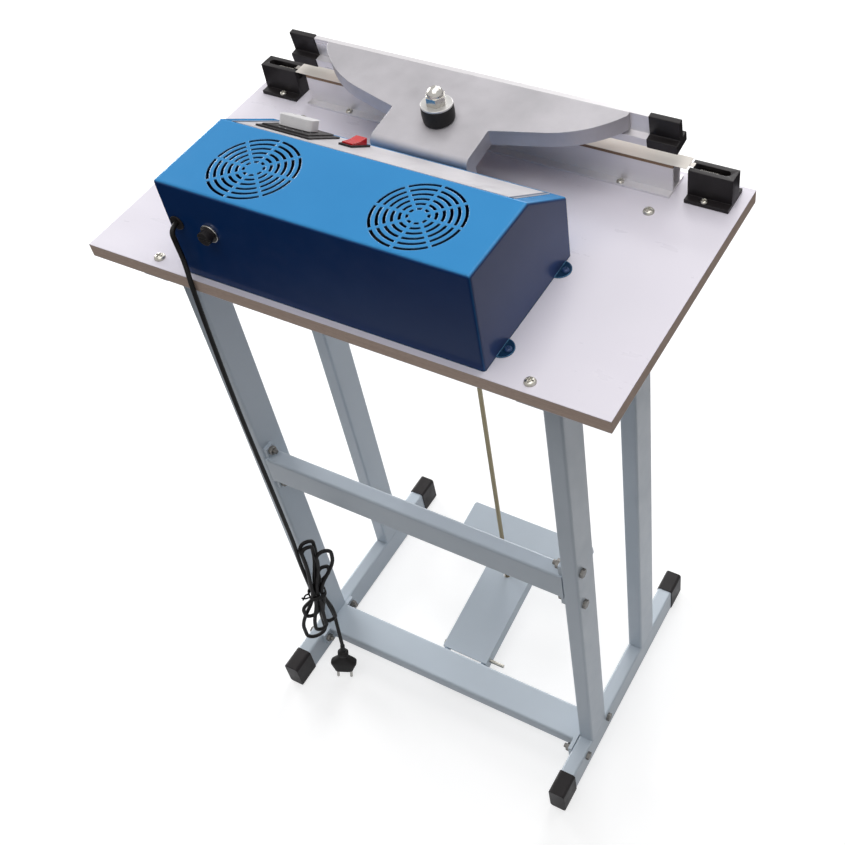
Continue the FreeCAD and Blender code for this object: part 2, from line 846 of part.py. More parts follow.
def hex_nut(label, start, along="Z"):
    body = hexagon(f"{label}_hexagon", size("hex_across_corners"), size("nut_height"), start, along)
    bore = cylinder(f"{label}_bore", size("bolt_diameter"), size("nut_height"), start, along)
    return cut(label, body, [bore])


frame_bolts = []
hex_nuts = []
nut_outer_face = inner_leg_face - size("joint_plate_thickness")
for side, sign in SIDES:
    for offset in (-joint_bolt_half, joint_bolt_half):
        spots = (
            (crossbar_y, size("crossbar_centre_height") + offset),
            (size("rail_centre_y") + offset, size("rail_centre_height")),
        )
        for y, z in spots:
            frame_bolts.append(hex_bolt(f"frame_bolt_{len(frame_bolts)}", sign, y, z))
            nut_x = nut_outer_face - size("nut_height") if sign > 0 else -nut_outer_face
            hex_nuts.append(hex_nut(f"frame_nut_{len(hex_nuts)}", (nut_x, y, z), "X"))
keep(group("frame_bolts", frame_bolts))

# Tabletop and the bolts that hold it to the flat bars.
board = centred_block(
    "board_blank",
    (size("table_length"), size("table_depth"), size("board_thickness")),
    (0, table_centre_y, board_underside),
)


def pan_bolt(label, x, y):
    grip = size("board_thickness") + size("flat_bar_thickness")
    shank_length = grip + size("nut_height") + size("bolt_stub")
    shank = cylinder(f"{label}_shank", size("bolt_diameter"), shank_length, (x, y, table_top - shank_length))
    head = doc.addObject("Part::Cone", f"{label}_head")
    bind(head, "Radius1", size("pan_head_diameter") / 2)
    bind(head, "Radius2", size("pan_head_top") / 2)
    bind(head, "Height", size("pan_head_height"))
    place(head, x, y, table_top)
    return join(label, [shank, head])


table_bolts = []
board_holes = []
for side, sign in SIDES:
    for end in ("front", "rear"):
        x = sign * table_bolt_x
        y = size(f"table_bolt_{end}_y")
        table_bolts.append(pan_bolt(f"table_bolt_{len(table_bolts)}", x, y))
        nut_start = (x, y, flat_bar_underside - size("nut_height"))
        hex_nuts.append(hex_nut(f"table_nut_{len(hex_nuts)}", nut_start))
        start = (x, y, board_underside)
        board_holes.append(cylinder("board_bolt_hole", bolt_hole, size("board_thickness"), start))
keep(group("table_bolts", table_bolts))
keep(group("hex_nuts", hex_nuts))

# Screws into the board: each entry is (x, y, level of the face under the head).
screw_spots = []
ear_x = size("box_width") / 2 + size("ear_reach") / 2
foot_offset = size("lower_jaw_foot_width") / 2 - size("foot_screw_inset")
for side, sign in SIDES:
    for end in ("front", "rear"):
        screw_spots.append((sign * ear_x, size(f"ear_{end}_y"), table_top + size("box_sheet")))
    bracket_screw_x = sign * size("bracket_screw_spacing") / 2
    screw_spots.append((bracket_screw_x, size("hinge_y"), table_top + size("bracket_sheet")))
    for offset in (-foot_offset, foot_offset):
        screw_y = size("jaw_y") + offset
        bar_x = sign * size("lower_jaw_screw_spacing") / 2
        block_x = sign * (block_start + size("block_screw_offset"))
        screw_spots.append((bar_x, screw_y, table_top + size("lower_jaw_foot")))
        screw_spots.append((block_x, screw_y, table_top + size("block_foot")))


def wood_screw(label, x, y, seat):
    shank_bottom = table_top - size("screw_depth")
    shank = cylinder(f"{label}_shank", size("screw_diameter"), seat - shank_bottom, (x, y, shank_bottom))
    head = doc.addObject("Part::Cone", f"{label}_head")
    bind(head, "Radius1", size("screw_head_diameter") / 2)
    bind(head, "Radius2", size("screw_head_top") / 2)
    bind(head, "Height", size("screw_head_height"))
    place(head, x, y, seat)
    return join(label, [shank, head])


def screw_hole(label, x, y):
    """Clearance hole in a foot, ear or bracket for a screw at this spot."""
    diameter = size("screw_diameter") + size("screw_clearance")
    length = size("board_thickness") + size("hinge_rise")
    return cylinder(label, diameter, length, (x, y, board_underside))


screws = []
for x, y, seat in screw_spots:
    screws.append(wood_screw(f"wood_screw_{len(screws)}", as_size(x), y, seat))
    hole_start = (x, y, table_top - size("screw_depth"))
    board_holes.append(cylinder("screw_pilot", size("screw_diameter"), size("screw_depth"), hole_start))
keep(group("wood_screws", screws))

# The pull rod leans: it runs from its foot in the pedal to the stud on the raised arm.
open_angle = size("arm_open_angle")
stud_reach = size("stud_y") - size("hinge_y")
stud_rise = arm_top + size("bush_height") / 2 - hinge_z
stud_pivot_y = size("hinge_y") + stud_reach * cosine(open_angle) + stud_rise * sine(open_angle)
stud_pivot_z = hinge_z - stud_reach * sine(open_angle) + stud_rise * cosine(open_angle)
rod_run = size("rod_foot_y") - stud_pivot_y
rod_rise = stud_pivot_z - size("rod_foot_height")
rod_lean = slope_angle(rod_run, rod_rise)
rod_length = distance(rod_run, rod_rise)
rod_table_y = stud_pivot_y + rod_run * (stud_pivot_z - table_top) / rod_rise

rod_hole_start = (0, rod_table_y - size("rod_diameter") / 2, board_underside)
board_holes.append(cylinder("rod_hole", size("rod_hole_diameter"), size("board_thickness"), rod_hole_start))
cable_hole_start = (0, size("box_fold_y"), board_underside)
cable_hole = cylinder("cable_hole", size("cable_hole_diameter"), size("board_thickness"), cable_hole_start)
board_holes.append(cable_hole)
keep(cut("tabletop", board, board_holes))

# Control box: folded sheet, open below, with ears, grilles and cut-outs.
half_box = size("box_width") / 2
panel_drop = size("box_height") - size("box_front_height")
panel_angle = slope_angle(panel_drop, size("box_fold_y") - size("box_front_y"))


def box_solid(label, inset, bend):
    """The box's closed form, its top and walls moved inwards by an inset."""
    top = box_top - inset
    fold_y = size("box_fold_y") + inset * half_angle_tangent(panel_angle)
    front_y = size("box_front_y") + inset
    panel_run = (fold_y - front_y) / cosine(panel_angle)
    corners = [
        (size("box_rear_y") - inset, table_top),
        (size("box_rear_y") - inset, top),
        (fold_y, top),
        (front_y, top - panel_run * sine(panel_angle)),
        (front_y, table_top),
    ]
    body = profile(label, "YZ_Plane", [corners], size("box_width") - 2 * inset, symmetric=True)
    round_edges(body, bend, lambda edge: edge.BoundBox.ZMax > table_top.value + TOLERANCE)
    return body


box_outside = box_solid("box_outside", as_size(0), size("box_bend"))
box_inside = box_solid("box_inside", size("box_sheet"), size("box_bend") - size("box_sheet"))
box_body = cut("box_sheet_form", box_outside, [box_inside])

box_pieces = [box_body]
ear_holes = []
for side, sign in SIDES:
    for end in ("front", "rear"):
        ear_y = size(f"ear_{end}_y")
        extent = (size("ear_reach") + size("box_sheet"), size("ear_width"), size("box_sheet"))
        ear_low_x = half_box - size("box_sheet") if sign > 0 else -half_box - size("ear_reach")
        corner = (ear_low_x, ear_y - size("ear_width") / 2, table_top)
        ear_blank = block(f"{side}_{end}_ear_blank", extent, corner)
        round_centre = (sign * (half_box + size("ear_reach") - size("ear_width") / 2), ear_y, table_top)
        ear_round = cylinder(f"{side}_{end}_ear_round", size("ear_width"), size("box_sheet"), round_centre)
        box_pieces.append(overlap(f"{side}_{end}_ear", ear_blank, ear_round))
        ear_holes.append(screw_hole("ear_hole", sign * ear_x, ear_y))

grille_cuts = []
grille_outer = size("grille_first_radius") + GRILLE_RINGS * size("grille_pitch")
slot_height = size("cutter_depth")
slot_bottom = box_top - slot_height / 2
for side, sign in SIDES:
    centre_x = sign * size("grille_spacing") / 2
    start = (centre_x, size("grille_y"), slot_bottom)
    rings = []
    for ring in range(GRILLE_RINGS):
        inner_radius = size("grille_first_radius") + ring * size("grille_pitch")
        outer_radius = inner_radius + size("grille_slot_width")
        outer = cylinder(f"{side}_ring_{ring}_outer", 2 * outer_radius, slot_height, start)
        inner = cylinder(f"{side}_ring_{ring}_inner", 2 * inner_radius, slot_height, start)
        rings.append(cut(f"{side}_ring_{ring}", outer, [inner]))
    spokes = []
    for bar in range(GRILLE_BARS):
        spoke = doc.addObject("Part::Box", f"{side}_spoke_{bar}")
        angle = bar * HALF_TURN / GRILLE_BARS
        bind(spoke, "Length", 2 * grille_outer)
        bind(spoke, "Width", size("grille_spoke_width"))
        bind(spoke, "Height", slot_height)
        turn(spoke, Z_AXIS, angle)
        back = -grille_outer * cosine(angle) + size("grille_spoke_width") / 2 * sine(angle)
        across = -grille_outer * sine(angle) - size("grille_spoke_width") / 2 * cosine(angle)
        place(spoke, centre_x + back, size("grille_y") + across, slot_bottom)
        spokes.append(spoke)
    grille_cuts.append(cut(f"{side}_grille", join(f"{side}_rings", rings), spokes))

rear_sheet_start = size("box_rear_y") - size("cutter_depth") / 2
gland_start = (size("gland_x"), rear_sheet_start, size("inlet_height"))
fuse_start = (size("fuse_x"), rear_sheet_start, size("inlet_height"))
rear_cuts = [
    cylinder("gland_hole", size("gland_neck_diameter"), size("cutter_depth"), gland_start, "Y"),
    cylinder("fuse_hole", size("fuse_body_diameter"), size("cutter_depth"), fuse_start, "Y"),
]


def on_panel(thing):
    """Moves a thing drawn on a level panel to the sloping one; the fold is the panel's origin."""
    turn(thing, X_AXIS, panel_angle)
    place(thing, 0, size("box_fold_y"), box_top)
    return thing


timer_centre = (size("timer_x"), -size("timer_drop"))
rocker_centre = (size("rocker_x"), -size("rocker_drop"))
rocker_well_width = size("rocker_width") + 2 * size("rocker_side_gap")
rocker_well_length = size("rocker_length") + 2 * size("rocker_end_gap")
rocker_body_width = rocker_well_width + 2 * size("rocker_body_wall")
rocker_body_length = rocker_well_length + 2 * size("rocker_body_wall")


def panel_openings(label):
    """The timer hole and the rocker window, as a cutter through the panel."""
    depth = size("cutter_depth")
    timer_hole = cylinder(
        f"{label}_timer_hole", size("timer_hole_diameter"), depth, (*timer_centre, -depth / 2)
    )
    window = centred_block(
        f"{label}_window", (rocker_body_width, rocker_body_length, depth), (*rocker_centre, -depth / 2)
    )
    return join(label, [timer_hole, window])


box_cutters = [*grille_cuts, *rear_cuts, *ear_holes, on_panel(panel_openings("panel_cutter"))]
keep(cut("control_box_shell", join("box_with_ears", box_pieces), box_cutters))

base_width = size("box_width") - 2 * (size("box_sheet") + size("base_gap"))
base_rear = size("box_rear_y") - size("box_sheet") - size("base_gap")
base_front = size("box_front_y") + size("box_sheet") + size("base_gap")
base_extent = (base_width, base_rear - base_front, size("base_sheet"))
base_blank = block("base_blank", base_extent, (-base_width / 2, base_front, table_top))
cable_cut_start = (0, size("box_fold_y"), table_top)
cable_cut = cylinder("base_cable_hole", size("cable_hole_diameter"), size("base_sheet"), cable_cut_start)
keep(cut("control_box_base", base_blank, [cable_cut]))

# Panel overlay, timer and rocker switch, drawn level and moved onto the slope.
overlay_blank = block(
    "overlay_blank",
    (size("overlay_width"), size("overlay_length"), size("overlay_thickness")),
    (-size("overlay_width") / 2, -size("overlay_start") - size("overlay_length"), 0),
)
keep(on_panel(cut("panel_overlay", overlay_blank, [panel_openings("overlay_cutter")])))

plate_level = size("overlay_thickness")
step_level = plate_level + size("timer_plate_thickness")
timer_face = step_level + size("timer_plate_thickness")
timer_plate = centred_block(
    "timer_plate",
    (size("timer_plate_width"), size("timer_plate_length"), size("timer_plate_thickness")),
    (*timer_centre, plate_level),
)
timer_step = centred_block(
    "timer_step",
    (size("timer_step_width"), size("timer_step_length"), size("timer_plate_thickness")),
    (*timer_centre, step_level),
)
bezel_bore = cylinder("bezel_bore", size("timer_bush_diameter"), timer_face, (*timer_centre, 0))
keep(on_panel(cut("timer_bezel", join("timer_plates", [timer_plate, timer_step]), [bezel_bore])))

timer_body_top = -size("box_sheet")
timer_body_bottom = timer_body_top - size("timer_body_depth")
timer_case = centred_block(
    "timer_case",
    (size("timer_body_width"), size("timer_body_width"), size("timer_body_depth")),
    (*timer_centre, timer_body_bottom),
)
timer_bush_length = timer_face - timer_body_top
timer_bush_start = (*timer_centre, timer_body_top)
timer_bush = cylinder("timer_bush", size("timer_bush_diameter"), timer_bush_length, timer_bush_start)
shaft_bore_diameter = size("timer_shaft_diameter") + 2 * size("running_clearance")
shaft_bore_bottom = timer_body_bottom + size("timer_body_depth") / 2
shaft_bore_length = timer_face - shaft_bore_bottom
shaft_bore_start = (*timer_centre, shaft_bore_bottom)
shaft_bore = cylinder("shaft_bore", shaft_bore_diameter, shaft_bore_length, shaft_bore_start)
keep(on_panel(cut("timer_body", join("timer_blank", [timer_case, timer_bush]), [shaft_bore])))

knob_bottom = timer_face + size("knob_gap")
knob_outline = rounded_rectangle(size("knob_length"), size("knob_width"), size("knob_corner"))
knob_grip = profile("knob_grip", "XY_Plane", [knob_outline], size("knob_height"))
turn(knob_grip, Z_AXIS, size("knob_turn"))
place(knob_grip, *timer_centre, knob_bottom)
shaft_bottom = shaft_bore_bottom + size("knob_gap")
knob_shaft = cylinder(
    "knob_shaft", size("timer_shaft_diameter"), knob_bottom - shaft_bottom, (*timer_centre, shaft_bottom)
)
keep(on_panel(join("timer_knob", [knob_grip, knob_shaft])))

bezel_top = plate_level + size("rocker_bezel_thickness")
rocker_frame = centred_block(
    "rocker_frame",
    (size("rocker_bezel_width"), size("rocker_bezel_length"), size("rocker_bezel_thickness")),
    (*rocker_centre, plate_level),
)
rocker_case = centred_block(
    "rocker_case",
    (rocker_body_width, rocker_body_length, size("rocker_body_depth") + plate_level),
    (*rocker_centre, -size("rocker_body_depth")),
)
rocker_well = centred_block(
    "rocker_well",
    (rocker_well_width, rocker_well_length, size("rocker_well")),
    (*rocker_centre, bezel_top - size("rocker_well")),
)
pin_hole_length = rocker_body_width
rocker_pin_start = (size("rocker_x") - pin_hole_length / 2, -size("rocker_drop"), size("rocker_pivot_height"))
rocker_pin = cylinder("rocker_pin", size("rocker_pin_diameter"), pin_hole_length, rocker_pin_start, "X")
rocker_blank = cut("rocker_hollow", join("rocker_case_blank", [rocker_frame, rocker_case]), [rocker_well])
keep(on_panel(join("rocker_switch_body", [rocker_blank, rocker_pin])))

half_rocker = size("rocker_length") / 2
rocker_profile = [
    (-half_rocker, -size("rocker_skirt") / 2),
    (0, -size("rocker_skirt")),
    (half_rocker, -size("rocker_skirt") / 2),
    (half_rocker, size("rocker_end_rise")),
    (0, size("rocker_middle_rise")),
    (-half_rocker, size("rocker_end_rise")),
]
rocker_solid = profile("rocker_blank", "YZ_Plane", [rocker_profile], size("rocker_width"), symmetric=True)
rocker_bore_diameter = size("rocker_pin_diameter") + 2 * size("running_clearance")
rocker_bore = cylinder(
    "rocker_bore", rocker_bore_diameter, size("rocker_width"), (-size("rocker_width") / 2, 0, 0), "X"
)
rocker_button = cut("rocker_button", rocker_solid, [rocker_bore])
turn(rocker_button, X_AXIS, panel_angle - size("rocker_tilt"))
rocker_y = (
    size("box_fold_y")
    - size("rocker_drop") * cosine(panel_angle)
    - size("rocker_pivot_height") * sine(panel_angle)
)
rocker_z = (
    box_top
    - size("rocker_drop") * sine(panel_angle)
    + size("rocker_pivot_height") * cosine(panel_angle)
)
place(rocker_button, size("rocker_x"), rocker_y, rocker_z)
keep(rocker_button)

# Fuse holder and cord gland on the rear face.
fuse_face = (size("fuse_x"), size("box_rear_y"), size("inlet_height"))
fuse_body_start = (size("fuse_x"), size("box_rear_y") - size("fuse_body_length"), size("inlet_height"))
fuse_ring = cylinder("fuse_ring", size("fuse_ring_diameter"), size("fuse_ring_thickness"), fuse_face, "Y")
fuse_tube = cylinder("fuse_tube", size("fuse_body_diameter"), size("fuse_body_length"), fuse_body_start, "Y")
fuse_seat_y = size("box_rear_y") + size("fuse_ring_thickness") - size("fuse_cap_seat")
fuse_cap_start = (size("fuse_x"), fuse_seat_y, size("inlet_height"))
fuse_cap_size = (size("fuse_cap_diameter"), size("fuse_cap_length"))
fuse_bore = cylinder("fuse_bore", *fuse_cap_size, fuse_cap_start, "Y")
keep(cut("fuse_holder", join("fuse_blank", [fuse_ring, fuse_tube]), [fuse_bore]))

fuse_cap_blank = cylinder("fuse_cap_blank", *fuse_cap_size, fuse_cap_start, "Y")
fuse_cap_front = fuse_seat_y + size("fuse_cap_length")
fuse_slot = block(
    "fuse_slot",
    (size("fuse_cap_diameter"), size("fuse_slot_width"), size("fuse_slot_width")),
    (
        size("fuse_x") - size("fuse_cap_diameter") / 2,
        fuse_cap_front - size("fuse_slot_width"),
        size("inlet_height") - size("fuse_slot_width") / 2,
    ),
)
keep(cut("fuse_cap", fuse_cap_blank, [fuse_slot]))

gland_neck_start = (size("gland_x"), size("box_rear_y") - size("gland_neck_length"), size("inlet_height"))
gland_face = (size("gland_x"), size("box_rear_y"), size("inlet_height"))
gland_flange = cylinder(
    "gland_flange", size("gland_flange_diameter"), size("gland_flange_thickness"), gland_face, "Y"
)
gland_neck = cylinder(
    "gland_neck", size("gland_neck_diameter"), size("gland_neck_length"), gland_neck_start, "Y"
)
gland_bore_length = size("gland_neck_length") + size("gland_flange_thickness")
gland_bore = cylinder("gland_bore", size("cord_diameter"), gland_bore_length, gland_neck_start, "Y")
keep(cut("cord_gland", join("gland_blank", [gland_flange, gland_neck]), [gland_bore]))

# Transformer: laminated core with two windows and the coil on its middle limb.
core_bottom = table_top + size("base_sheet")
core_y = size("core_centre_y")
core_blank = centred_block(
    "core_blank", (size("core_length"), size("core_depth"), size("core_height")), (0, core_y, core_bottom)
)
window_bottom = core_bottom + (size("core_height") - size("core_window_height")) / 2
core_windows = []
for side, sign in SIDES:
    window_x = sign * (size("core_limb_width") + size("core_window_width")) / 2
    extent = (size("core_window_width"), 2 * size("core_depth"), size("core_window_height"))
    core_windows.append(centred_block(f"{side}_core_window", extent, (window_x, core_y, window_bottom)))
keep(cut("transformer_core", core_blank, core_windows))

coil_width = size("core_limb_width") + 2 * size("core_window_width")
coil_depth = size("core_depth") + 2 * size("coil_overhang")
coil_blank = centred_block(
    "coil_blank", (coil_width, coil_depth, size("core_window_height")), (0, core_y, window_bottom)
)
coil_bore_extent = (size("core_limb_width"), size("core_depth"), size("core_window_height"))
coil_bore = centred_block("coil_bore", coil_bore_extent, (0, core_y, window_bottom))
keep(cut("transformer_coil", coil_blank, [coil_bore]))

# Hinge bracket and pin of the press arm.
bracket_plate = centred_block(
    "bracket_plate",
    (size("bracket_length"), size("bracket_depth"), size("bracket_sheet")),
    (0, size("hinge_y"), table_top),
)
bracket_post = centred_block(
    "bracket_post",
    (size("knuckle_width"), size("knuckle_diameter"), size("hinge_rise")),
    (0, size("hinge_y"), table_top),
)
knuckle_start = (-size("knuckle_width") / 2, size("hinge_y"), hinge_z)
knuckle_size = (size("knuckle_diameter"), size("knuckle_width"))
bracket_knuckle = cylinder("bracket_knuckle", *knuckle_size, knuckle_start, "X")
hinge_pin_start = (-size("arm_tail_width") / 2, size("hinge_y"), hinge_z)
hinge_pin_size = (size("hinge_pin_diameter"), size("arm_tail_width"))
bracket_bore = cylinder("bracket_bore", *hinge_pin_size, hinge_pin_start, "X")
bracket_holes = [bracket_bore]
for side, sign in SIDES:
    bracket_holes.append(
        screw_hole("bracket_screw_hole", sign * size("bracket_screw_spacing") / 2, size("hinge_y"))
    )
bracket_blank = join("bracket_blank", [bracket_plate, bracket_post, bracket_knuckle])
keep(cut("hinge_bracket", bracket_blank, bracket_holes))
keep(cylinder("hinge_pin", *hinge_pin_size, hinge_pin_start, "X"))


def raised(thing):
    """Swings a thing drawn on the level arm about the hinge to the open position."""
    turn(thing, X_AXIS, -open_angle)
    shift_y = size("hinge_y") - size("hinge_y") * cosine(open_angle) - hinge_z * sine(open_angle)
    shift_z = hinge_z + size("hinge_y") * sine(open_angle) - hinge_z * cosine(open_angle)
    return place(thing, 0, shift_y, shift_z)


# Press arm: a hollow winged casting with a tail that turns down to the hinge.
half_tail = size("arm_tail_width") / 2
half_shoulder = size("arm_shoulder_width") / 2
half_tip = size("arm_tip_width") / 2
wing_start_y = size("arm_rear_y") - size("arm_tail_wall")
wing_outline = [
    (half_tail, wing_start_y),
    (-half_tail, wing_start_y),
    (-half_tail, size("arm_notch_y")),
    (-half_shoulder, size("arm_shoulder_y"), size("arm_curve_radius"), True),
    (-half_tip, size("arm_tip_y")),
    (-half_tip, arm_front_y),
    (half_tip, arm_front_y),
    (half_tip, size("arm_tip_y"), size("arm_curve_radius"), True),
    (half_shoulder, size("arm_shoulder_y")),
    (half_tail, size("arm_notch_y")),
]
wings = profile("arm_wings", "XY_Plane", [wing_outline], size("arm_thickness"))
place(wings, 0, 0, arm_underside)

arm_skin = size("arm_skin")
pocket_tail = half_tail - arm_skin
pocket_shoulder = half_shoulder - size("pocket_shoulder_inset")
pocket_tip = half_tip - size("pocket_tip_inset")
pocket_notch_y = size("arm_notch_y") - size("pocket_shoulder_inset")
pocket_shoulder_y = size("arm_shoulder_y") - arm_skin
pocket_front_y = arm_front_y + arm_skin
pocket_radius = size("arm_curve_radius") + arm_skin
pocket_outline = [
    (pocket_tail, wing_start_y),
    (-pocket_tail, wing_start_y),
    (-pocket_tail, pocket_notch_y),
    (-pocket_shoulder, pocket_shoulder_y, pocket_radius, True),
    (-pocket_tip, pocket_front_y),
    (pocket_tip, pocket_front_y, pocket_radius, True),
    (pocket_shoulder, pocket_shoulder_y),
    (pocket_tail, pocket_notch_y),
]
arm_pocket = profile("arm_pocket", "XY_Plane", [pocket_outline], size("arm_thickness") - arm_skin)
place(arm_pocket, 0, 0, arm_underside)

tail_profile = [
    (wing_start_y, hinge_z),
    (size("arm_rear_y"), hinge_z),
    (size("arm_rear_y"), arm_top - size("arm_roll"), size("arm_roll"), True),
    (size("arm_rear_y") - size("arm_roll"), arm_top),
    (wing_start_y, arm_top),
]
tail = profile("arm_tail", "YZ_Plane", [tail_profile], size("arm_tail_width"), symmetric=True)
arm_knuckle = cylinder("arm_knuckle", size("knuckle_diameter"), size("arm_tail_width"), hinge_pin_start, "X")
knuckle_slot_width = size("knuckle_width") + 2 * size("knuckle_gap")
knuckle_slot_size = size("knuckle_diameter") + size("knuckle_slot_margin")
knuckle_slot = centred_block(
    "knuckle_slot",
    (knuckle_slot_width, 2 * knuckle_slot_size, knuckle_slot_size),
    (0, size("hinge_y"), hinge_z - knuckle_slot_size / 2),
)
arm_bore_diameter = size("hinge_pin_diameter") + 2 * size("running_clearance")
arm_bore = cylinder("arm_bore", arm_bore_diameter, size("arm_tail_width"), hinge_pin_start, "X")
stud_hole = cylinder(
    "stud_hole", size("arm_hole_diameter"), size("arm_thickness"), (0, size("stud_y"), arm_underside)
)
jaw_screw_level = arm_top - size("jaw_screw_height")
jaw_screw_x = []
for spacing in (size("jaw_screw_inner"), size("jaw_screw_outer")):
    jaw_screw_x.append(-spacing / 2)
    jaw_screw_x.append(spacing / 2)
jaw_web_front = arm_front_y - size("upper_jaw_web")


def jaw_screw_cutters(label):
    """Threaded holes along Y through the jaw's web and into the arm's front wall."""
    cutters = []
    for x in jaw_screw_x:
        start = (x, jaw_web_front, jaw_screw_level)
        cutters.append(cylinder(label, size("screw_diameter"), size("jaw_screw_length"), start, "Y"))
    return cutters


arm_blank = join("arm_blank", [wings, tail, arm_knuckle])
arm_cutters = [arm_pocket, knuckle_slot, arm_bore, stud_hole, *jaw_screw_cutters("arm_screw_hole")]
keep(raised(cut("press_arm", arm_blank, arm_cutters)))

# Upper jaw: an inverted T extrusion with a silicone strip and two end caps.
web_half = size("upper_jaw_web") / 2
base_half = size("upper_jaw_base_width") / 2
shoulder_z = upper_jaw_bottom + size("upper_jaw_base_height")


def jaw_outline(margin):
    """The inverted T of the upper jaw, made larger all round by a margin."""
    jaw_y = size("jaw_y")
    return [
        (jaw_y - base_half - margin, upper_jaw_bottom - margin),
        (jaw_y + base_half + margin, upper_jaw_bottom - margin),
        (jaw_y + base_half + margin, shoulder_z + margin),
        (jaw_y + web_half + margin, shoulder_z + margin),
        (jaw_y + web_half + margin, arm_top + margin),
        (jaw_y - web_half - margin, arm_top + margin),
        (jaw_y - web_half - margin, shoulder_z + margin),
        (jaw_y - base_half - margin, shoulder_z + margin),
    ]


bare_jaw = jaw_outline(as_size(0))
jaw_blank = profile("jaw_blank", "YZ_Plane", [bare_jaw], size("upper_jaw_length"), symmetric=True)
keep(raised(cut("upper_jaw_bar", jaw_blank, jaw_screw_cutters("jaw_screw_hole"))))

silicone = block(
    "silicone_strip",
    (size("upper_jaw_length"), size("silicone_width"), size("silicone_thickness")),
    (-size("upper_jaw_length") / 2, size("jaw_y") - size("silicone_width") / 2, silicone_bottom),
)
keep(raised(group("silicone_pad", [silicone])))

upper_caps = []
for side, sign in SIDES:
    cap_outline = jaw_outline(size("upper_cap_margin"))
    cap_blank = profile(f"{side}_upper_cap_blank", "YZ_Plane", [cap_outline], size("upper_cap_length"))
    cap_x = size("upper_jaw_length") / 2
    place(cap_blank, cap_x if sign > 0 else -cap_x - size("upper_cap_length"), 0, 0)
    upper_caps.append(cap_blank)
keep(raised(group("upper_end_caps", upper_caps)))

jaw_screws = []
for x in jaw_screw_x:
    start = (x, jaw_web_front, jaw_screw_level)
    shank = cylinder("jaw_screw_shank", size("screw_diameter"), size("jaw_screw_length"), start, "Y")
    head_start = (x, jaw_web_front - size("screw_head_height"), jaw_screw_level)
    head = cylinder("jaw_screw_head", size("screw_head_diameter"), size("screw_head_height"), head_start, "Y")
    jaw_screws.append(join("jaw_screw", [shank, head]))
keep(raised(group("upper_jaw_screws", jaw_screws)))

# Lower jaw: hollow bar with feet, insulation, heating element and its cover.
lower_half = size("lower_jaw_length") / 2
jaw_y = size("jaw_y")
bar_half = size("lower_jaw_width") / 2
foot_half = size("lower_jaw_foot_width") / 2
foot_top = table_top + size("lower_jaw_foot")
lower_outline = [
    (jaw_y - foot_half, table_top),
    (jaw_y + foot_half, table_top),
    (jaw_y + foot_half, foot_top),
    (jaw_y + bar_half, foot_top),
    (jaw_y + bar_half, insulation_bottom),
    (jaw_y - bar_half, insulation_bottom),
    (jaw_y - bar_half, foot_top),
    (jaw_y - foot_half, foot_top),
]
bore_half = bar_half - size("lower_jaw_wall")
bore_top = insulation_bottom - size("lower_jaw_wall")
lower_bore = [
    (jaw_y - bore_half, foot_top),
    (jaw_y + bore_half, foot_top),
    (jaw_y + bore_half, bore_top),
    (jaw_y - bore_half, bore_top),
]
lower_blank = profile(
    "lower_jaw_blank", "YZ_Plane", [lower_outline, lower_bore], size("lower_jaw_length"), symmetric=True
)
lower_holes = []
for side, sign in SIDES:
    for offset in (-foot_offset, foot_offset):
        hole_x = sign * size("lower_jaw_screw_spacing") / 2
        lower_holes.append(screw_hole("lower_jaw_hole", hole_x, jaw_y + offset))
keep(cut("lower_jaw_bar", lower_blank, lower_holes))

keep(
    centred_block(
        "insulating_strip",
        (size("lower_jaw_length"), size("lower_jaw_width"), size("insulation_thickness")),
        (as_size(0), jaw_y, insulation_bottom),
    )
)
element_length = size("lower_jaw_length") + 2 * size("element_overhang")
cover_length = size("lower_jaw_length") + 2 * size("cover_overhang")
keep(
    centred_block(
        "heating_element",
        (element_length, size("element_width"), size("element_thickness")),
        (as_size(0), jaw_y, element_bottom),
    )
)
keep(
    centred_block(
        "sealing_cover",
        (cover_length, size("lower_jaw_width"), size("cover_thickness")),
        (as_size(0), jaw_y, cover_bottom),
    )
)

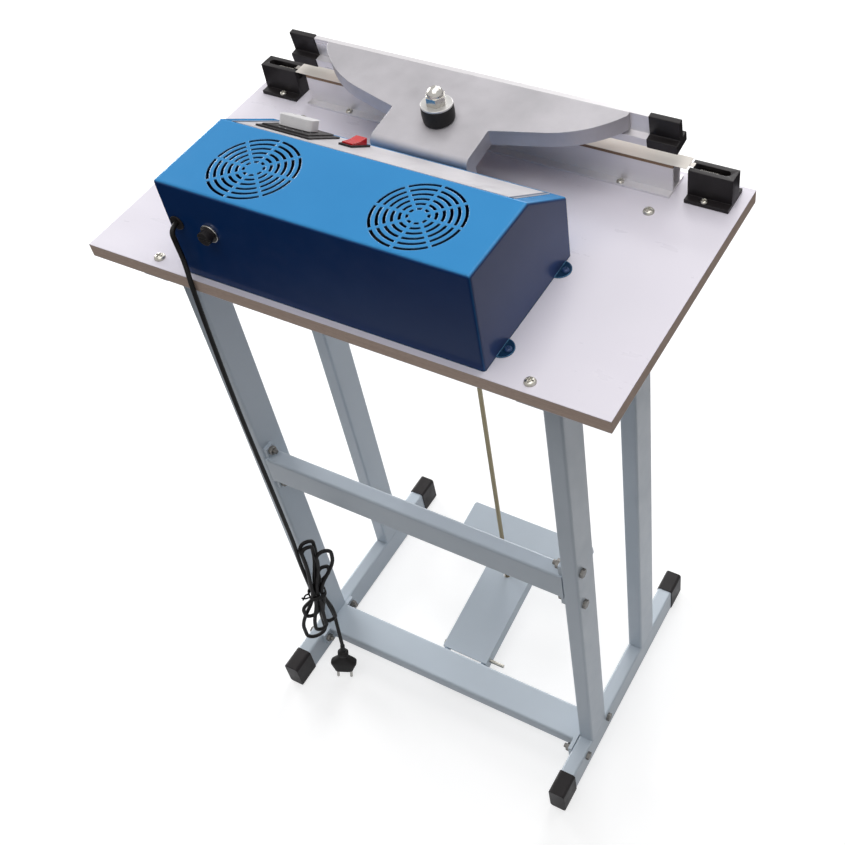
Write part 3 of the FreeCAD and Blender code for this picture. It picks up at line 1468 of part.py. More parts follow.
# End blocks that hold and tension the heating element.
slot_floor = table_top + size("block_height") - size("block_slot_depth")
coil_level = slot_floor + size("block_slot_depth") / 2
coils = []
for side, sign in SIDES:
    block_x = sign * (block_start + size("block_length") / 2)
    block_centre = (block_x, jaw_y, table_top)
    core_extent = (size("block_length"), size("lower_jaw_width"), size("block_height"))
    block_core = centred_block(f"{side}_block_core", core_extent, block_centre)
    foot_extent = (size("block_length"), size("lower_jaw_foot_width"), size("block_foot"))
    block_foot = centred_block(f"{side}_block_foot", foot_extent, block_centre)
    slot_x = block_start if sign > 0 else -block_start - size("block_slot_length")
    slot_extent = (size("block_slot_length"), size("block_slot_width"), size("block_slot_depth"))
    slot_corner = (slot_x, jaw_y - size("block_slot_width") / 2, slot_floor)
    slot = block(f"{side}_block_slot", slot_extent, slot_corner)
    slot_end_x = sign * (block_start + size("block_slot_length"))
    slot_end = (slot_end_x, jaw_y, slot_floor)
    slot_round = cylinder(f"{side}_slot_round", size("block_slot_width"), size("block_slot_depth"), slot_end)
    block_cutters = [slot, slot_round]
    for offset in (-foot_offset, foot_offset):
        hole_x = sign * (block_start + size("block_screw_offset"))
        block_cutters.append(screw_hole(f"{side}_block_hole", hole_x, jaw_y + offset))
    blank = join(f"{side}_block_blank", [block_core, block_foot])
    keep(cut(f"{side}_lower_end_block", blank, block_cutters))

    coil_wire = size("tension_wire")
    coil_form = (size("tension_coil_diameter"), coil_wire, size("tension_coil_length"))
    coil = coil_spring(f"{side}_tension_coil", *coil_form, TENSION_TURNS)
    turn(coil, Y_AXIS, RIGHT_ANGLE)
    coil_margin = (size("block_slot_length") - size("tension_coil_length")) / 2
    coil_x = block_start + coil_margin
    if sign < 0:
        coil_x = -coil_x - size("tension_coil_length")
    place(coil, coil_x, jaw_y, coil_level)
    coils.append(coil)
keep(group("tension_springs", coils))

# Pull rod, drawn upright about the stud's pivot and leant into place.


def leant(thing):
    turn(thing, X_AXIS, rod_lean)
    return place(thing, 0, stud_pivot_y, stud_pivot_z)


rod_start = (as_size(0), as_size(0), -rod_length - size("rod_tail"))
rod_full = rod_length + size("rod_tail") + size("rod_top")
keep(leant(group("pull_rod", [cylinder("rod_shank", size("rod_diameter"), rod_full, rod_start)])))

half_bush = size("bush_height") / 2
washer_blank = cylinder("washer_blank", size("washer_diameter"), size("washer_thickness"), (0, 0, half_bush))
washer_bore = cylinder("washer_bore", size("rod_diameter"), size("washer_thickness"), (0, 0, half_bush))
keep(leant(cut("stud_washer", washer_blank, [washer_bore])))

dome_bottom = half_bush + size("washer_thickness")
dome_level = dome_bottom + size("dome_hex_height")
dome_hex = hexagon("dome_hex", size("dome_hex_across_corners"), size("dome_hex_height"), (0, 0, dome_bottom))
dome_ball = doc.addObject("Part::Sphere", "dome_ball")
bind(dome_ball, "Radius", size("dome_diameter") / 2)
place(dome_ball, 0, 0, dome_level)
dome_bore_length = size("rod_top") - dome_bottom
dome_trim_start = (0, 0, dome_bottom - size("dome_diameter"))
dome_trim = cylinder("dome_trim", size("washer_diameter"), size("dome_diameter"), dome_trim_start)
dome_bore = cylinder("dome_bore", size("rod_diameter"), dome_bore_length, (0, 0, dome_bottom))
keep(leant(cut("dome_nut", join("dome_blank", [dome_hex, dome_ball]), [dome_trim, dome_bore])))

# The rubber bush fills the wedge between the tilted arm and the washer.
bush_full = size("bush_height") + size("bush_diameter") / 2
bush_blank = cylinder("bush_column", size("bush_diameter"), bush_full, (0, 0, half_bush - bush_full))
bush_bore = cylinder("bush_bore", size("rod_diameter"), bush_full, (0, 0, half_bush - bush_full))
bush_column = leant(cut("bush_tube", bush_blank, [bush_bore]))
bush_trim_size = 2 * size("bush_diameter")
bush_trim = centred_block(
    "bush_trim",
    (bush_trim_size, bush_trim_size, size("bush_diameter")),
    (as_size(0), size("stud_y"), arm_top - size("bush_diameter")),
)
keep(cut("rubber_bush", bush_column, [raised(group("raised_bush_trim", [bush_trim]))]))

nut_top = -rod_length - size("pedal_sheet") - size("rod_nut_gap")
rod_nuts = []
for count in (1, 2):
    nut_start = (0, 0, nut_top - count * size("nut_height"))
    rod_nuts.append(hex_nut(f"rod_nut_{count}", nut_start))
keep(leant(group("rod_nuts", rod_nuts)))

# Collar on the rod below the board, and the switch it holds down while the arm is open.
collar_drop = (stud_pivot_z - size("collar_level")) / cosine(rod_lean)
collar_start = (as_size(0), as_size(0), -collar_drop)
collar_blank = cylinder("collar_blank", size("collar_diameter"), size("collar_height"), collar_start)
collar_bore = cylinder("collar_bore", size("rod_diameter"), size("collar_height"), collar_start)
keep(leant(cut("switch_collar", collar_blank, [collar_bore])))

collar_top = size("collar_level") + size("collar_height")
switch_x = size("switch_offset") + size("switch_width") / 2
switch_y = rod_table_y
switch_bottom = board_underside - size("switch_height")
switch_blank = centred_block(
    "switch_blank",
    (size("switch_width"), size("switch_length"), size("switch_height")),
    (switch_x, switch_y, switch_bottom),
)
plunger_x = size("switch_offset") + size("plunger_diameter")
plunger_bottom = collar_top + size("plunger_gap")
plunger_top = switch_bottom + size("plunger_seat")
switch_bore_diameter = size("plunger_diameter") + 2 * size("running_clearance")
switch_bore_depth = size("plunger_seat") + size("plunger_travel")
switch_bore_start = (plunger_x, switch_y, switch_bottom)
switch_bore = cylinder("switch_bore", switch_bore_diameter, switch_bore_depth, switch_bore_start)
keep(cut("closing_switch", switch_blank, [switch_bore]))
plunger_start = (plunger_x, switch_y, plunger_bottom)
keep(cylinder("switch_plunger", size("plunger_diameter"), plunger_top - plunger_bottom, plunger_start))

# Return spring between the board and the underside of the arm.
spring_seat = table_top + size("spring_seat_gap") + size("spring_wire") / 2
spring_reach = size("stud_y") - size("hinge_y")
skin_rise = arm_top - size("arm_skin") - hinge_z
ceiling = hinge_z - spring_reach * sine(open_angle) + skin_rise * cosine(open_angle)
spring_slack = size("spring_gap") + size("spring_diameter") / 2 * sine(open_angle) + size("spring_wire") / 2
spring_height = ceiling - spring_slack - spring_seat
spring_form = (size("spring_diameter"), size("spring_wire"), spring_height)
spring = coil_spring("return_spring", *spring_form, SPRING_TURNS)
place(spring, 0, rod_table_y - size("rod_diameter") / 2, spring_seat)
keep(spring)

# Pedal: a channel with a wide tread, drawn level about its pin and tilted up to the front.


def tilted(thing):
    turn(thing, X_AXIS, -size("pedal_tilt"))
    return place(thing, 0, size("pedal_pin_y"), size("pedal_pin_height"))


plate_top = size("pedal_plate_rise")
channel_bottom = plate_top - size("pedal_flange")
half_pedal = size("pedal_width") / 2
channel_length = size("pedal_length") + size("pedal_tail")
channel_bore = size("pedal_width") - 2 * size("pedal_sheet")
channel_outer = block(
    "channel_outer",
    (size("pedal_width"), channel_length, size("pedal_flange")),
    (-half_pedal, -size("pedal_length"), channel_bottom),
)
channel_inner = block(
    "channel_inner",
    (channel_bore, channel_length, size("pedal_flange") - size("pedal_sheet")),
    (-channel_bore / 2, -size("pedal_length"), channel_bottom),
)
pedal_bore_diameter = size("pedal_pin_diameter") + 2 * size("running_clearance")
pedal_bore = cylinder("pedal_bore", pedal_bore_diameter, size("pedal_width"), (-half_pedal, 0, 0), "X")
foot_reach = size("pedal_pin_y") - size("rod_foot_y")
foot_rise = size("rod_foot_height") - size("pedal_pin_height")
rod_foot_local = foot_reach * cosine(size("pedal_tilt")) + foot_rise * sine(size("pedal_tilt"))
rod_foot_start = (0, -rod_foot_local, channel_bottom)
pedal_hole = cylinder("pedal_hole", size("pedal_hole_diameter"), size("pedal_flange"), rod_foot_start)
keep(tilted(cut("pedal_arm", channel_outer, [channel_inner, pedal_bore, pedal_hole])))

tread_outline = rounded_rectangle(size("tread_width"), size("tread_depth"), size("tread_corner"))
tread_body = profile("tread_blank", "XY_Plane", [tread_outline], size("tread_lip"))
hollow_out(tread_body, size("pedal_sheet"), lambda face: face.BoundBox.ZMax < TOLERANCE)
tread_bottom = plate_top + size("pedal_sheet") - size("tread_lip")
place(tread_body, 0, -size("tread_front") + size("tread_depth") / 2, tread_bottom)
tread_notch = block(
    "tread_notch",
    (size("pedal_width"), size("tread_depth"), size("tread_lip") - size("pedal_sheet")),
    (-half_pedal, -size("pedal_length"), tread_bottom),
)
keep(tilted(cut("pedal_tread", tread_body, [tread_notch])))

pedal_pin_length = size("pedal_pin_left") + size("pedal_pin_right")
pedal_pin_start = (-size("pedal_pin_left"), size("pedal_pin_y"), size("pedal_pin_height"))
pin_shank = cylinder("pedal_pin_shank", size("pedal_pin_diameter"), pedal_pin_length, pedal_pin_start, "X")
pin_head_start = (size("pedal_pin_right"), size("pedal_pin_y"), size("pedal_pin_height"))
pin_head_size = (size("pedal_pin_head_diameter"), size("pedal_pin_head"))
pin_head = hexagon("pedal_pin_head", *pin_head_size, pin_head_start, "X")
keep(join("pedal_pin", [pin_shank, pin_head]))

# Mains cord: the hanging run, the tied hank, the tail and the plug.
BEND_SHARE = 0.45


def cord_tube(label, corners):
    """Round cord along straight runs joined by tangent arcs."""
    points = [FreeCAD.Vector(*(as_size(c).value for c in corner)) for corner in corners]
    edges = []
    position = points[0]
    for before, corner, after in zip(points, points[1:], points[2:]):
        incoming = corner - before
        outgoing = after - corner
        half_turn_angle = incoming.getAngle(outgoing) / 2
        setback = BEND_SHARE * min(incoming.Length, outgoing.Length)
        radius = setback / math.tan(half_turn_angle)
        print(f"{label}: bend radius {radius:.1f} mm")
        arc_start = corner - incoming.normalize() * setback
        arc_end = corner + outgoing.normalize() * setback
        bisector = (outgoing - incoming).normalize()
        centre_distance = radius / math.cos(half_turn_angle)
        arc_middle = corner + bisector * (centre_distance - radius)
        edges.append(Part.LineSegment(position, arc_start).toShape())
        edges.append(Part.Arc(arc_start, arc_middle, arc_end).toShape())
        position = arc_end
    edges.append(Part.LineSegment(position, points[-1]).toShape())
    return round_sweep(label, edges, size("cord_diameter"), points[1] - points[0])


hang = (size("gland_x"), size("cord_hang_y"))
cord_corners = [
    (size("gland_x"), size("cord_hang_y") - size("cord_inside"), size("inlet_height")),
    (*hang, size("inlet_height")),
    (*hang, size("hank_entry_height")),
]
keep(cord_tube("power_cord", cord_corners))

half_upper = size("hank_upper_width") / 2
half_lower = size("hank_lower_width") / 2
half_waist = size("hank_waist_width") / 2
upper_middle = size("hank_upper_shift")
lower_middle = size("hank_lower_shift")
waist_middle = size("hank_waist_shift")
tie_z = size("hank_tie_height")
upper_widest = tie_z + (size("hank_top") - tie_z) * size("hank_upper_share")
lower_widest = tie_z - (tie_z - size("hank_bottom")) * size("hank_lower_share")
end_round = size("hank_end_radius")
hank_outline = [
    (waist_middle + half_waist, tie_z),
    (upper_middle + half_upper, upper_widest),
    (upper_middle + half_upper, size("hank_top") - end_round, end_round, True),
    (upper_middle + half_upper - end_round, size("hank_top")),
    (upper_middle - half_upper + end_round, size("hank_top"), end_round, True),
    (upper_middle - half_upper, size("hank_top") - end_round),
    (upper_middle - half_upper, upper_widest),
    (waist_middle - half_waist, tie_z),
    (lower_middle - half_lower, lower_widest),
    (lower_middle - half_lower, size("hank_bottom") + end_round, end_round, True),
    (lower_middle - half_lower + end_round, size("hank_bottom")),
    (lower_middle + half_lower - end_round, size("hank_bottom"), end_round, True),
    (lower_middle + half_lower, size("hank_bottom") + end_round),
    (lower_middle + half_lower, lower_widest),
]
hank = profile("cord_hank", "XZ_Plane", [hank_outline], size("hank_thickness"), symmetric=True)


def hung(thing):
    """Turns a thing drawn about the hanging cord so that it faces as the hank does."""
    turn(thing, Z_AXIS, size("hank_turn"))
    return place(thing, *hang, 0)


def hank_point(along, out, height):
    """Place of a point of the hank: along its width, out of its plane, and above the floor."""
    along = as_size(along)
    x = size("gland_x") + along * cosine(size("hank_turn")) - out * sine(size("hank_turn"))
    y = size("cord_hang_y") + along * sine(size("hank_turn")) + out * cosine(size("hank_turn"))
    return (x, y, height)


keep(hung(hank))

tie_outer = centred_block(
    "tie_outer",
    (
        size("hank_waist_width") + 2 * size("tie_reach"),
        size("hank_thickness") + 2 * size("tie_margin"),
        size("tie_height"),
    ),
    (waist_middle, as_size(0), tie_z - size("tie_height") / 2),
)
tie_core = profile("tie_core", "XZ_Plane", [hank_outline], size("hank_thickness"), symmetric=True)
keep(hung(cut("cord_tie", tie_outer, [tie_core])))

tail_top = tie_z - size("tie_height")
tail_middle = (tail_top + size("plug_neck_height")) / 2
tail_corners = [
    hank_point(size("tail_start_shift"), as_size(0), tail_top),
    hank_point(size("tail_bow_shift"), size("plug_offset"), tail_middle),
    hank_point(size("plug_shift"), size("plug_offset"), size("plug_neck_height")),
]
keep(cord_tube("cord_tail", tail_corners))

# The plug is drawn hanging from the origin, then tilted as it hangs on the tail.
half_face = size("plug_width") / 2
half_shoulder_width = size("plug_shoulder_width") / 2
plug_outline = [
    (-half_face, -size("plug_length")),
    (half_face, -size("plug_length")),
    (half_shoulder_width, -size("plug_neck_length")),
    (-half_shoulder_width, -size("plug_neck_length")),
]
plug_body = profile("plug_blank", "XZ_Plane", [plug_outline], size("plug_thickness"), symmetric=True)
round_edges(plug_body, size("plug_edge"), lambda edge: edge.BoundBox.YLength > TOLERANCE)
plug_neck_start = (0, 0, -size("plug_length"))
plug_neck = cylinder("plug_neck", size("plug_neck_diameter"), size("plug_length"), plug_neck_start)


def dangling(label, thing):
    """Turns a thing drawn on the plug's axis, tilts it and hangs it on the tail."""
    turn(thing, Z_AXIS, size("plug_turn"))
    tilted_thing = group(f"{label}_tilted", [thing])
    turn(tilted_thing, Y_AXIS, -size("plug_tilt"))
    place(tilted_thing, size("plug_shift"), size("plug_offset"), size("plug_neck_height"))
    return hung(group(label, [tilted_thing]))


keep(dangling("mains_plug", join("plug_moulding", [plug_body, plug_neck])))

plug_pins = []
for side, sign in SIDES:
    start = (sign * size("plug_pin_spacing") / 2, 0, -size("plug_length") - size("plug_pin_length"))
    plug_pins.append(cylinder(f"{side}_plug_pin", size("plug_pin_diameter"), size("plug_pin_length"), start))
keep(dangling("plug_pins", group("pin_pair", plug_pins)))

# Recompute, check every object and write one file per node.
doc.recompute()
faults = []
for thing in doc.Objects:
    if "Invalid" in thing.State or "Error" in thing.State:
        faults.append(f"{thing.Label}: {thing.State}")
for node in nodes:
    if node.Shape.isNull() or not node.Shape.isValid() or node.Shape.Volume <= 0:
        faults.append(f"{node.Label}: bad shape")
for fault in faults:
    print(fault)
if faults:
    raise SystemExit("the part has faults")

os.makedirs("parts", exist_ok=True)
for node in nodes:
    node.Shape.exportStep(f"parts/{node.Label}.step")
    print(f"{node.Label}: {len(node.Shape.Solids)} solids, {node.Shape.Volume:.0f} cubic mm")
print(f"{len(nodes)} nodes, panel slope {panel_angle.value:.2f}, rod lean {rod_lean.value:.3f} degrees")
print(f"stud pivot y {stud_pivot_y.value:.3f} z {stud_pivot_z.value:.3f}, rod length {rod_length.value:.3f}")
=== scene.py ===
import json
import math
from typing import NamedTuple

import bmesh
import bpy
from mathutils import Matrix, Vector

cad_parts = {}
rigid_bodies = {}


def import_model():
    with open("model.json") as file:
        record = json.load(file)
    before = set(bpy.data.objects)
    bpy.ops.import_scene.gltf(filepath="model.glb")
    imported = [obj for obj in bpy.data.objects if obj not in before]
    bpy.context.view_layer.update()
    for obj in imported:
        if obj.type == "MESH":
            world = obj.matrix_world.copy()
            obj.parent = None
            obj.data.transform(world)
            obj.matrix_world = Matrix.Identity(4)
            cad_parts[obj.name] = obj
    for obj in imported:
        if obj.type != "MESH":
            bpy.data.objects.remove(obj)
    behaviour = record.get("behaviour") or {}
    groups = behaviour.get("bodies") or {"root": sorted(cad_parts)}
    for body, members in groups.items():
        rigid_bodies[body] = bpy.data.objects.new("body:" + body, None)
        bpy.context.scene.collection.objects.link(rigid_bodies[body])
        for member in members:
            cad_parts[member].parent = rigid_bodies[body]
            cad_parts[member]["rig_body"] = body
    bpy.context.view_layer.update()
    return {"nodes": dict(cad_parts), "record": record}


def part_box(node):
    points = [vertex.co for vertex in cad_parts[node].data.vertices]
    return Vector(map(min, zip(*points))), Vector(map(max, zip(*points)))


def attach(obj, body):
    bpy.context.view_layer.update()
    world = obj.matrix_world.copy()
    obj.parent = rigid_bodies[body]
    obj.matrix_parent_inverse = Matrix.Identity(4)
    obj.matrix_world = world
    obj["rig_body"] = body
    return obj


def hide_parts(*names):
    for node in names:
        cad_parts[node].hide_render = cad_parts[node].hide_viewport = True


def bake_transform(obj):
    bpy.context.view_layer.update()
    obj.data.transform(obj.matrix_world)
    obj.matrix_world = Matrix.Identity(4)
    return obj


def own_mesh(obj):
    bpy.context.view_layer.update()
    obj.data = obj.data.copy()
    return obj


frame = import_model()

# Foot-operated impulse heat sealer on a tubular stand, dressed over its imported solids.
# Metres, +Z up, the operator stands on the -Y side. Lengths named _mm are millimetres.

scene = bpy.context.scene
scene.view_settings.view_transform = "Standard"
MM = 0.001


def in_metres(point_mm):
    return Vector(point_mm) * MM


def link(thing):
    scene.collection.objects.link(thing)
    return thing


# Camera at the photograph's place, with its framing.
camera_data = bpy.data.cameras.new("photo_camera")
camera_data.sensor_width = 36.0
camera_data.lens = 50.609
camera_data.shift_x = -0.1186
camera_data.shift_y = 0.01775
camera = link(bpy.data.objects.new("photo_camera", camera_data))
camera_right = Vector((-0.87675, -0.47282, -0.08801))
camera_up = Vector((0.31299, -0.69988, 0.64203))
camera_back = Vector((-0.36516, 0.53536, 0.76161))
camera_turn = Matrix((camera_right, camera_up, camera_back)).transposed()
camera.matrix_world = Matrix.Translation((-0.5877, 0.70465, 1.5019)) @ camera_turn.to_4x4()
scene.camera = camera


# Procedural materials.
COLOUR_A = 6
COLOUR_B = 7
COLOUR_RESULT = 2


class Tree:
    """A material's node tree with short ways of adding and joining nodes."""

    def __init__(self, name, material=None):
        self.material = material or bpy.data.materials.new(name)
        self.material.use_nodes = True
        self.nodes = self.material.node_tree.nodes
        self.links = self.material.node_tree.links
        self.shader = self.nodes["Principled BSDF"]

    def add(self, kind, **settings):
        node = self.nodes.new(f"ShaderNode{kind}")
        for key, value in settings.items():
            setattr(node, key, value)
        return node

    def put(self, socket, value):
        """Joins an output to a socket, or sets the socket to a value."""
        if isinstance(value, bpy.types.NodeSocket):
            self.links.new(value, socket)
        else:
            socket.default_value = value

    def coordinates(self, stretch=(1, 1, 1)):
        source = self.add("TexCoord")
        mapping = self.add("Mapping")
        self.put(mapping.inputs["Vector"], source.outputs["Object"])
        mapping.inputs["Scale"].default_value = stretch
        return mapping.outputs["Vector"]

    def noise(self, scale, detail=3.0, stretch=(1, 1, 1), rough=0.55):
        node = self.add("TexNoise")
        self.put(node.inputs["Vector"], self.coordinates(stretch))
        node.inputs["Scale"].default_value = scale
        node.inputs["Detail"].default_value = detail
        node.inputs["Roughness"].default_value = rough
        return node.outputs["Fac"]

    def bands(self, axis, scale, profile="SIN"):
        """Parallel bands across one axis."""
        node = self.add("TexWave", bands_direction=axis, wave_profile=profile)
        self.put(node.inputs["Vector"], self.coordinates())
        node.inputs["Scale"].default_value = scale
        return node.outputs["Fac"]

    def spread(self, value, low_in, high_in, low, high):
        """Maps a range of a value to another, clamped at its ends."""
        node = self.add("MapRange")
        self.put(node.inputs["Value"], value)
        node.inputs["From Min"].default_value = low_in
        node.inputs["From Max"].default_value = high_in
        node.inputs["To Min"].default_value = low
        node.inputs["To Max"].default_value = high
        return node.outputs["Result"]

    def arithmetic(self, operation, first, second):
        node = self.add("Math", operation=operation)
        self.put(node.inputs[0], first)
        self.put(node.inputs[1], second)
        return node.outputs["Value"]

    def mix(self, factor, first, second):
        """Mixes two colours."""
        node = self.add("Mix", data_type="RGBA")
        self.put(node.inputs["Factor"], factor)
        self.put(node.inputs[COLOUR_A], first)
        self.put(node.inputs[COLOUR_B], second)
        return node.outputs[COLOUR_RESULT]

    def rounded_normal(self, radius_mm):
        """Normal that rounds sharp edges over a radius."""
        node = self.add("Bevel", samples=4)
        node.inputs["Radius"].default_value = radius_mm * MM
        return node.outputs["Normal"]

    def edge_mask(self, rounded):
        """One along sharp edges, nought on open faces."""
        geometry = self.add("NewGeometry")
        dot = self.add("VectorMath", operation="DOT_PRODUCT")
        self.put(dot.inputs[0], rounded)
        self.put(dot.inputs[1], geometry.outputs["Normal"])
        return self.spread(dot.outputs["Value"], 0.88, 0.995, 1.0, 0.0)

    def bump(self, height, strength, distance_mm, normal=None):
        node = self.add("Bump")
        node.inputs["Strength"].default_value = strength
        node.inputs["Distance"].default_value = distance_mm * MM
        self.put(node.inputs["Height"], height)
        if normal is not None:
            self.put(node.inputs["Normal"], normal)
        return node.outputs["Normal"]


def surface(
    name,
    colour,
    shade,
    roughness,
    blotch=25.0,
    grain=900.0,
    grain_depth_mm=0.02,
    grain_strength=0.35,
    stretch=(1, 1, 1),
    metallic=0.0,
    coat=0.0,
    coat_roughness=0.1,
    worn=None,
    wear=0.0,
    edge_mm=0.6,
    specular=0.5,
):
    """Mottled colour, uneven gloss, a fine grain and edges rounded and worn over a small radius."""
    tree = Tree(name)
    shader = tree.shader
    blotches = tree.noise(blotch, detail=4.0, stretch=stretch)
    base = tree.mix(tree.spread(blotches, 0.3, 0.7, 0.0, 1.0), (*colour, 1), (*shade, 1))
    rounded = tree.rounded_normal(edge_mm)
    if worn is not None:
        scratches = tree.noise(140.0, detail=5.0)
        patchy = tree.spread(scratches, 0.42, 0.62, 0.0, wear)
        mask = tree.arithmetic("MULTIPLY", tree.edge_mask(rounded), patchy)
        base = tree.mix(mask, base, (*worn, 1))
    tree.put(shader.inputs["Base Color"], base)
    fine = tree.noise(grain, detail=2.0, stretch=stretch)
    gloss = tree.noise(60.0, detail=4.0, stretch=stretch)
    tree.put(shader.inputs["Roughness"], tree.spread(gloss, 0.3, 0.7, roughness[0], roughness[1]))
    tree.put(shader.inputs["Normal"], tree.bump(fine, grain_strength, grain_depth_mm, rounded))
    shader.inputs["Metallic"].default_value = metallic
    shader.inputs["Specular IOR Level"].default_value = specular
    shader.inputs["Coat Weight"].default_value = coat
    shader.inputs["Coat Roughness"].default_value = coat_roughness
    return tree.material


def board_material():
    """White laminate on both faces of a brown pressed board."""
    tree = Tree("laminated_board")
    geometry = tree.add("NewGeometry")
    parts = tree.add("SeparateXYZ")
    tree.put(parts.inputs["Vector"], geometry.outputs["Normal"])
    upright = tree.arithmetic("ABSOLUTE", parts.outputs["Z"], 0.0)
    face = tree.spread(upright, 0.55, 0.8, 0.0, 1.0)
    place = tree.add("SeparateXYZ")
    tree.put(place.inputs["Vector"], tree.add("TexCoord").outputs["Object"])
    centre_height = 0.7495
    laminate_start = 0.0068
    offset = tree.arithmetic("SUBTRACT", place.outputs["Z"], centre_height)
    near_face = tree.arithmetic("ABSOLUTE", offset, 0.0)
    skin = tree.spread(near_face, laminate_start, laminate_start + 0.0002, 0.0, 1.0)
    is_skin = tree.arithmetic("MAXIMUM", face, skin)
    fibres = tree.noise(420.0, detail=5.0, stretch=(0.35, 0.35, 1.6))
    layers = tree.noise(9.0, detail=3.0, stretch=(1, 1, 30))
    fibre_mix = tree.spread(fibres, 0.3, 0.72, 0.0, 1.0)
    brown = tree.mix(fibre_mix, (0.64, 0.48, 0.39, 1), (0.78, 0.61, 0.51, 1))
    brown = tree.mix(tree.spread(layers, 0.35, 0.7, 0.0, 0.45), brown, (0.55, 0.40, 0.32, 1))
    cloud = tree.noise(5.0, detail=4.0)
    white = tree.mix(tree.spread(cloud, 0.3, 0.7, 0.0, 1.0), (0.80, 0.765, 0.83, 1), (0.77, 0.73, 0.805, 1))
    specks = tree.noise(300.0, detail=2.0)
    white = tree.mix(tree.spread(specks, 0.66, 0.74, 0.0, 0.1), white, (0.62, 0.58, 0.62, 1))
    tree.put(tree.shader.inputs["Base Color"], tree.mix(is_skin, brown, white))
    smear = tree.noise(14.0, detail=5.0, stretch=(1, 2.5, 1))
    skin_gloss = tree.spread(smear, 0.3, 0.7, 0.26, 0.4)
    gloss = tree.add("Mix", data_type="FLOAT")
    tree.put(gloss.inputs["Factor"], is_skin)
    gloss.inputs[2].default_value = 0.85
    tree.put(gloss.inputs[3], skin_gloss)
    tree.put(tree.shader.inputs["Roughness"], gloss.outputs[0])
    pores = tree.arithmetic("MULTIPLY", fibres, tree.arithmetic("SUBTRACT", 1.0, is_skin))
    pebble = tree.arithmetic("MULTIPLY", tree.noise(1400.0, detail=1.0), 0.25)
    height = tree.arithmetic("ADD", pores, pebble)
    tree.put(tree.shader.inputs["Normal"], tree.bump(height, 0.4, 0.05, tree.rounded_normal(0.5)))
    return tree.material


def box_material():
    """Glossy blue powder coat, with painted shade: navy on the rear sheet, slate on the end sheets and a darker blue
    on the ears; and a painted highlight of lighter blue along the edges.
    """
    tree = Tree("box_blue")
    shader = tree.shader
    cloud = tree.spread(tree.noise(9.0, detail=4.0), 0.3, 0.7, 0.0, 1.0)
    blue = tree.mix(cloud, (0.036, 0.262, 0.575, 1), (0.031, 0.24, 0.54, 1))
    # Painted shade: navy for the rear sheet and slate for the end sheets, darker than the blue that the top shows in
    # light.
    rear_shade_navy = tree.mix(cloud, (0.003, 0.034, 0.15, 1), (0.005, 0.042, 0.17, 1))
    end_shade_slate = tree.mix(cloud, (0.03, 0.055, 0.155, 1), (0.036, 0.063, 0.17, 1))
    ear_shade_blue = (0.004, 0.03, 0.075, 1)
    geometry = tree.add("NewGeometry")
    parts = tree.add("SeparateXYZ")
    tree.put(parts.inputs["Vector"], geometry.outputs["Normal"])
    # Painted shade by the direction a face looks: rear-facing faces turn navy, end faces slate.
    rear = tree.spread(parts.outputs["Y"], 0.5, 0.9, 0.0, 1.0)
    end = tree.spread(tree.arithmetic("ABSOLUTE", parts.outputs["X"], 0.0), 0.5, 0.9, 0.0, 1.0)
    place = tree.add("SeparateXYZ")
    tree.put(place.inputs["Vector"], tree.add("TexCoord").outputs["Object"])
    # Painted shade: the ears, low beside the box, take a darker blue below this height.
    ear_top = 0.7585
    ear = tree.spread(place.outputs["Z"], ear_top, ear_top + 0.0002, 1.0, 0.0)
    coat = tree.mix(end, blue, end_shade_slate)
    coat = tree.mix(rear, coat, rear_shade_navy)
    coat = tree.mix(ear, coat, ear_shade_blue)
    rounded = tree.rounded_normal(1.4)
    # Painted highlight: a lighter blue band along the sharp edges, over most of their length.
    patchy = tree.spread(tree.noise(140.0, detail=5.0), 0.35, 0.6, 0.45, 0.9)
    mask = tree.arithmetic("MULTIPLY", tree.edge_mask(rounded), patchy)
    tree.put(shader.inputs["Base Color"], tree.mix(mask, coat, (0.16, 0.44, 0.76, 1)))
    gloss = tree.noise(60.0, detail=4.0)
    tree.put(shader.inputs["Roughness"], tree.spread(gloss, 0.3, 0.7, 0.16, 0.26))
    peel = tree.noise(420.0, detail=2.0)
    tree.put(shader.inputs["Normal"], tree.bump(peel, 0.12, 0.01, rounded))
    shader.inputs["Specular IOR Level"].default_value = 0.18
    return tree.material


def cloth_material():
    """Coated glass cloth: a fine plain weave under a waxy film."""
    tree = Tree("release_cloth")
    weave = tree.arithmetic("MULTIPLY", tree.bands("X", 420.0), tree.bands("Y", 420.0))
    stain = tree.noise(18.0, detail=4.0, stretch=(0.4, 3, 1))
    pale = tree.mix(tree.spread(stain, 0.3, 0.75, 0.0, 1.0), (0.80, 0.755, 0.70, 1), (0.70, 0.645, 0.58, 1))
    tree.put(tree.shader.inputs["Base Color"], tree.mix(tree.spread(weave, 0, 1, 0.0, 0.25), pale, (0.6, 0.54, 0.47, 1)))
    tree.put(tree.shader.inputs["Roughness"], tree.spread(stain, 0.3, 0.7, 0.32, 0.5))
    tree.put(tree.shader.inputs["Normal"], tree.bump(weave, 0.4, 0.05))
    return tree.material


def core_material():
    """Stacked iron sheets under varnish."""
    tree = Tree("laminated_core")
    sheets = tree.bands("Y", 320.0)
    rust = tree.noise(60.0, detail=5.0)
    iron = tree.mix(tree.spread(rust, 0.45, 0.7, 0.0, 1.0), (0.13, 0.125, 0.12, 1), (0.22, 0.15, 0.1, 1))
    tree.put(tree.shader.inputs["Base Color"], iron)
    tree.put(tree.shader.inputs["Roughness"], tree.spread(rust, 0.3, 0.7, 0.3, 0.55))
    tree.put(tree.shader.inputs["Normal"], tree.bump(sheets, 0.5, 0.1))
    tree.shader.inputs["Metallic"].default_value = 0.6
    return tree.material


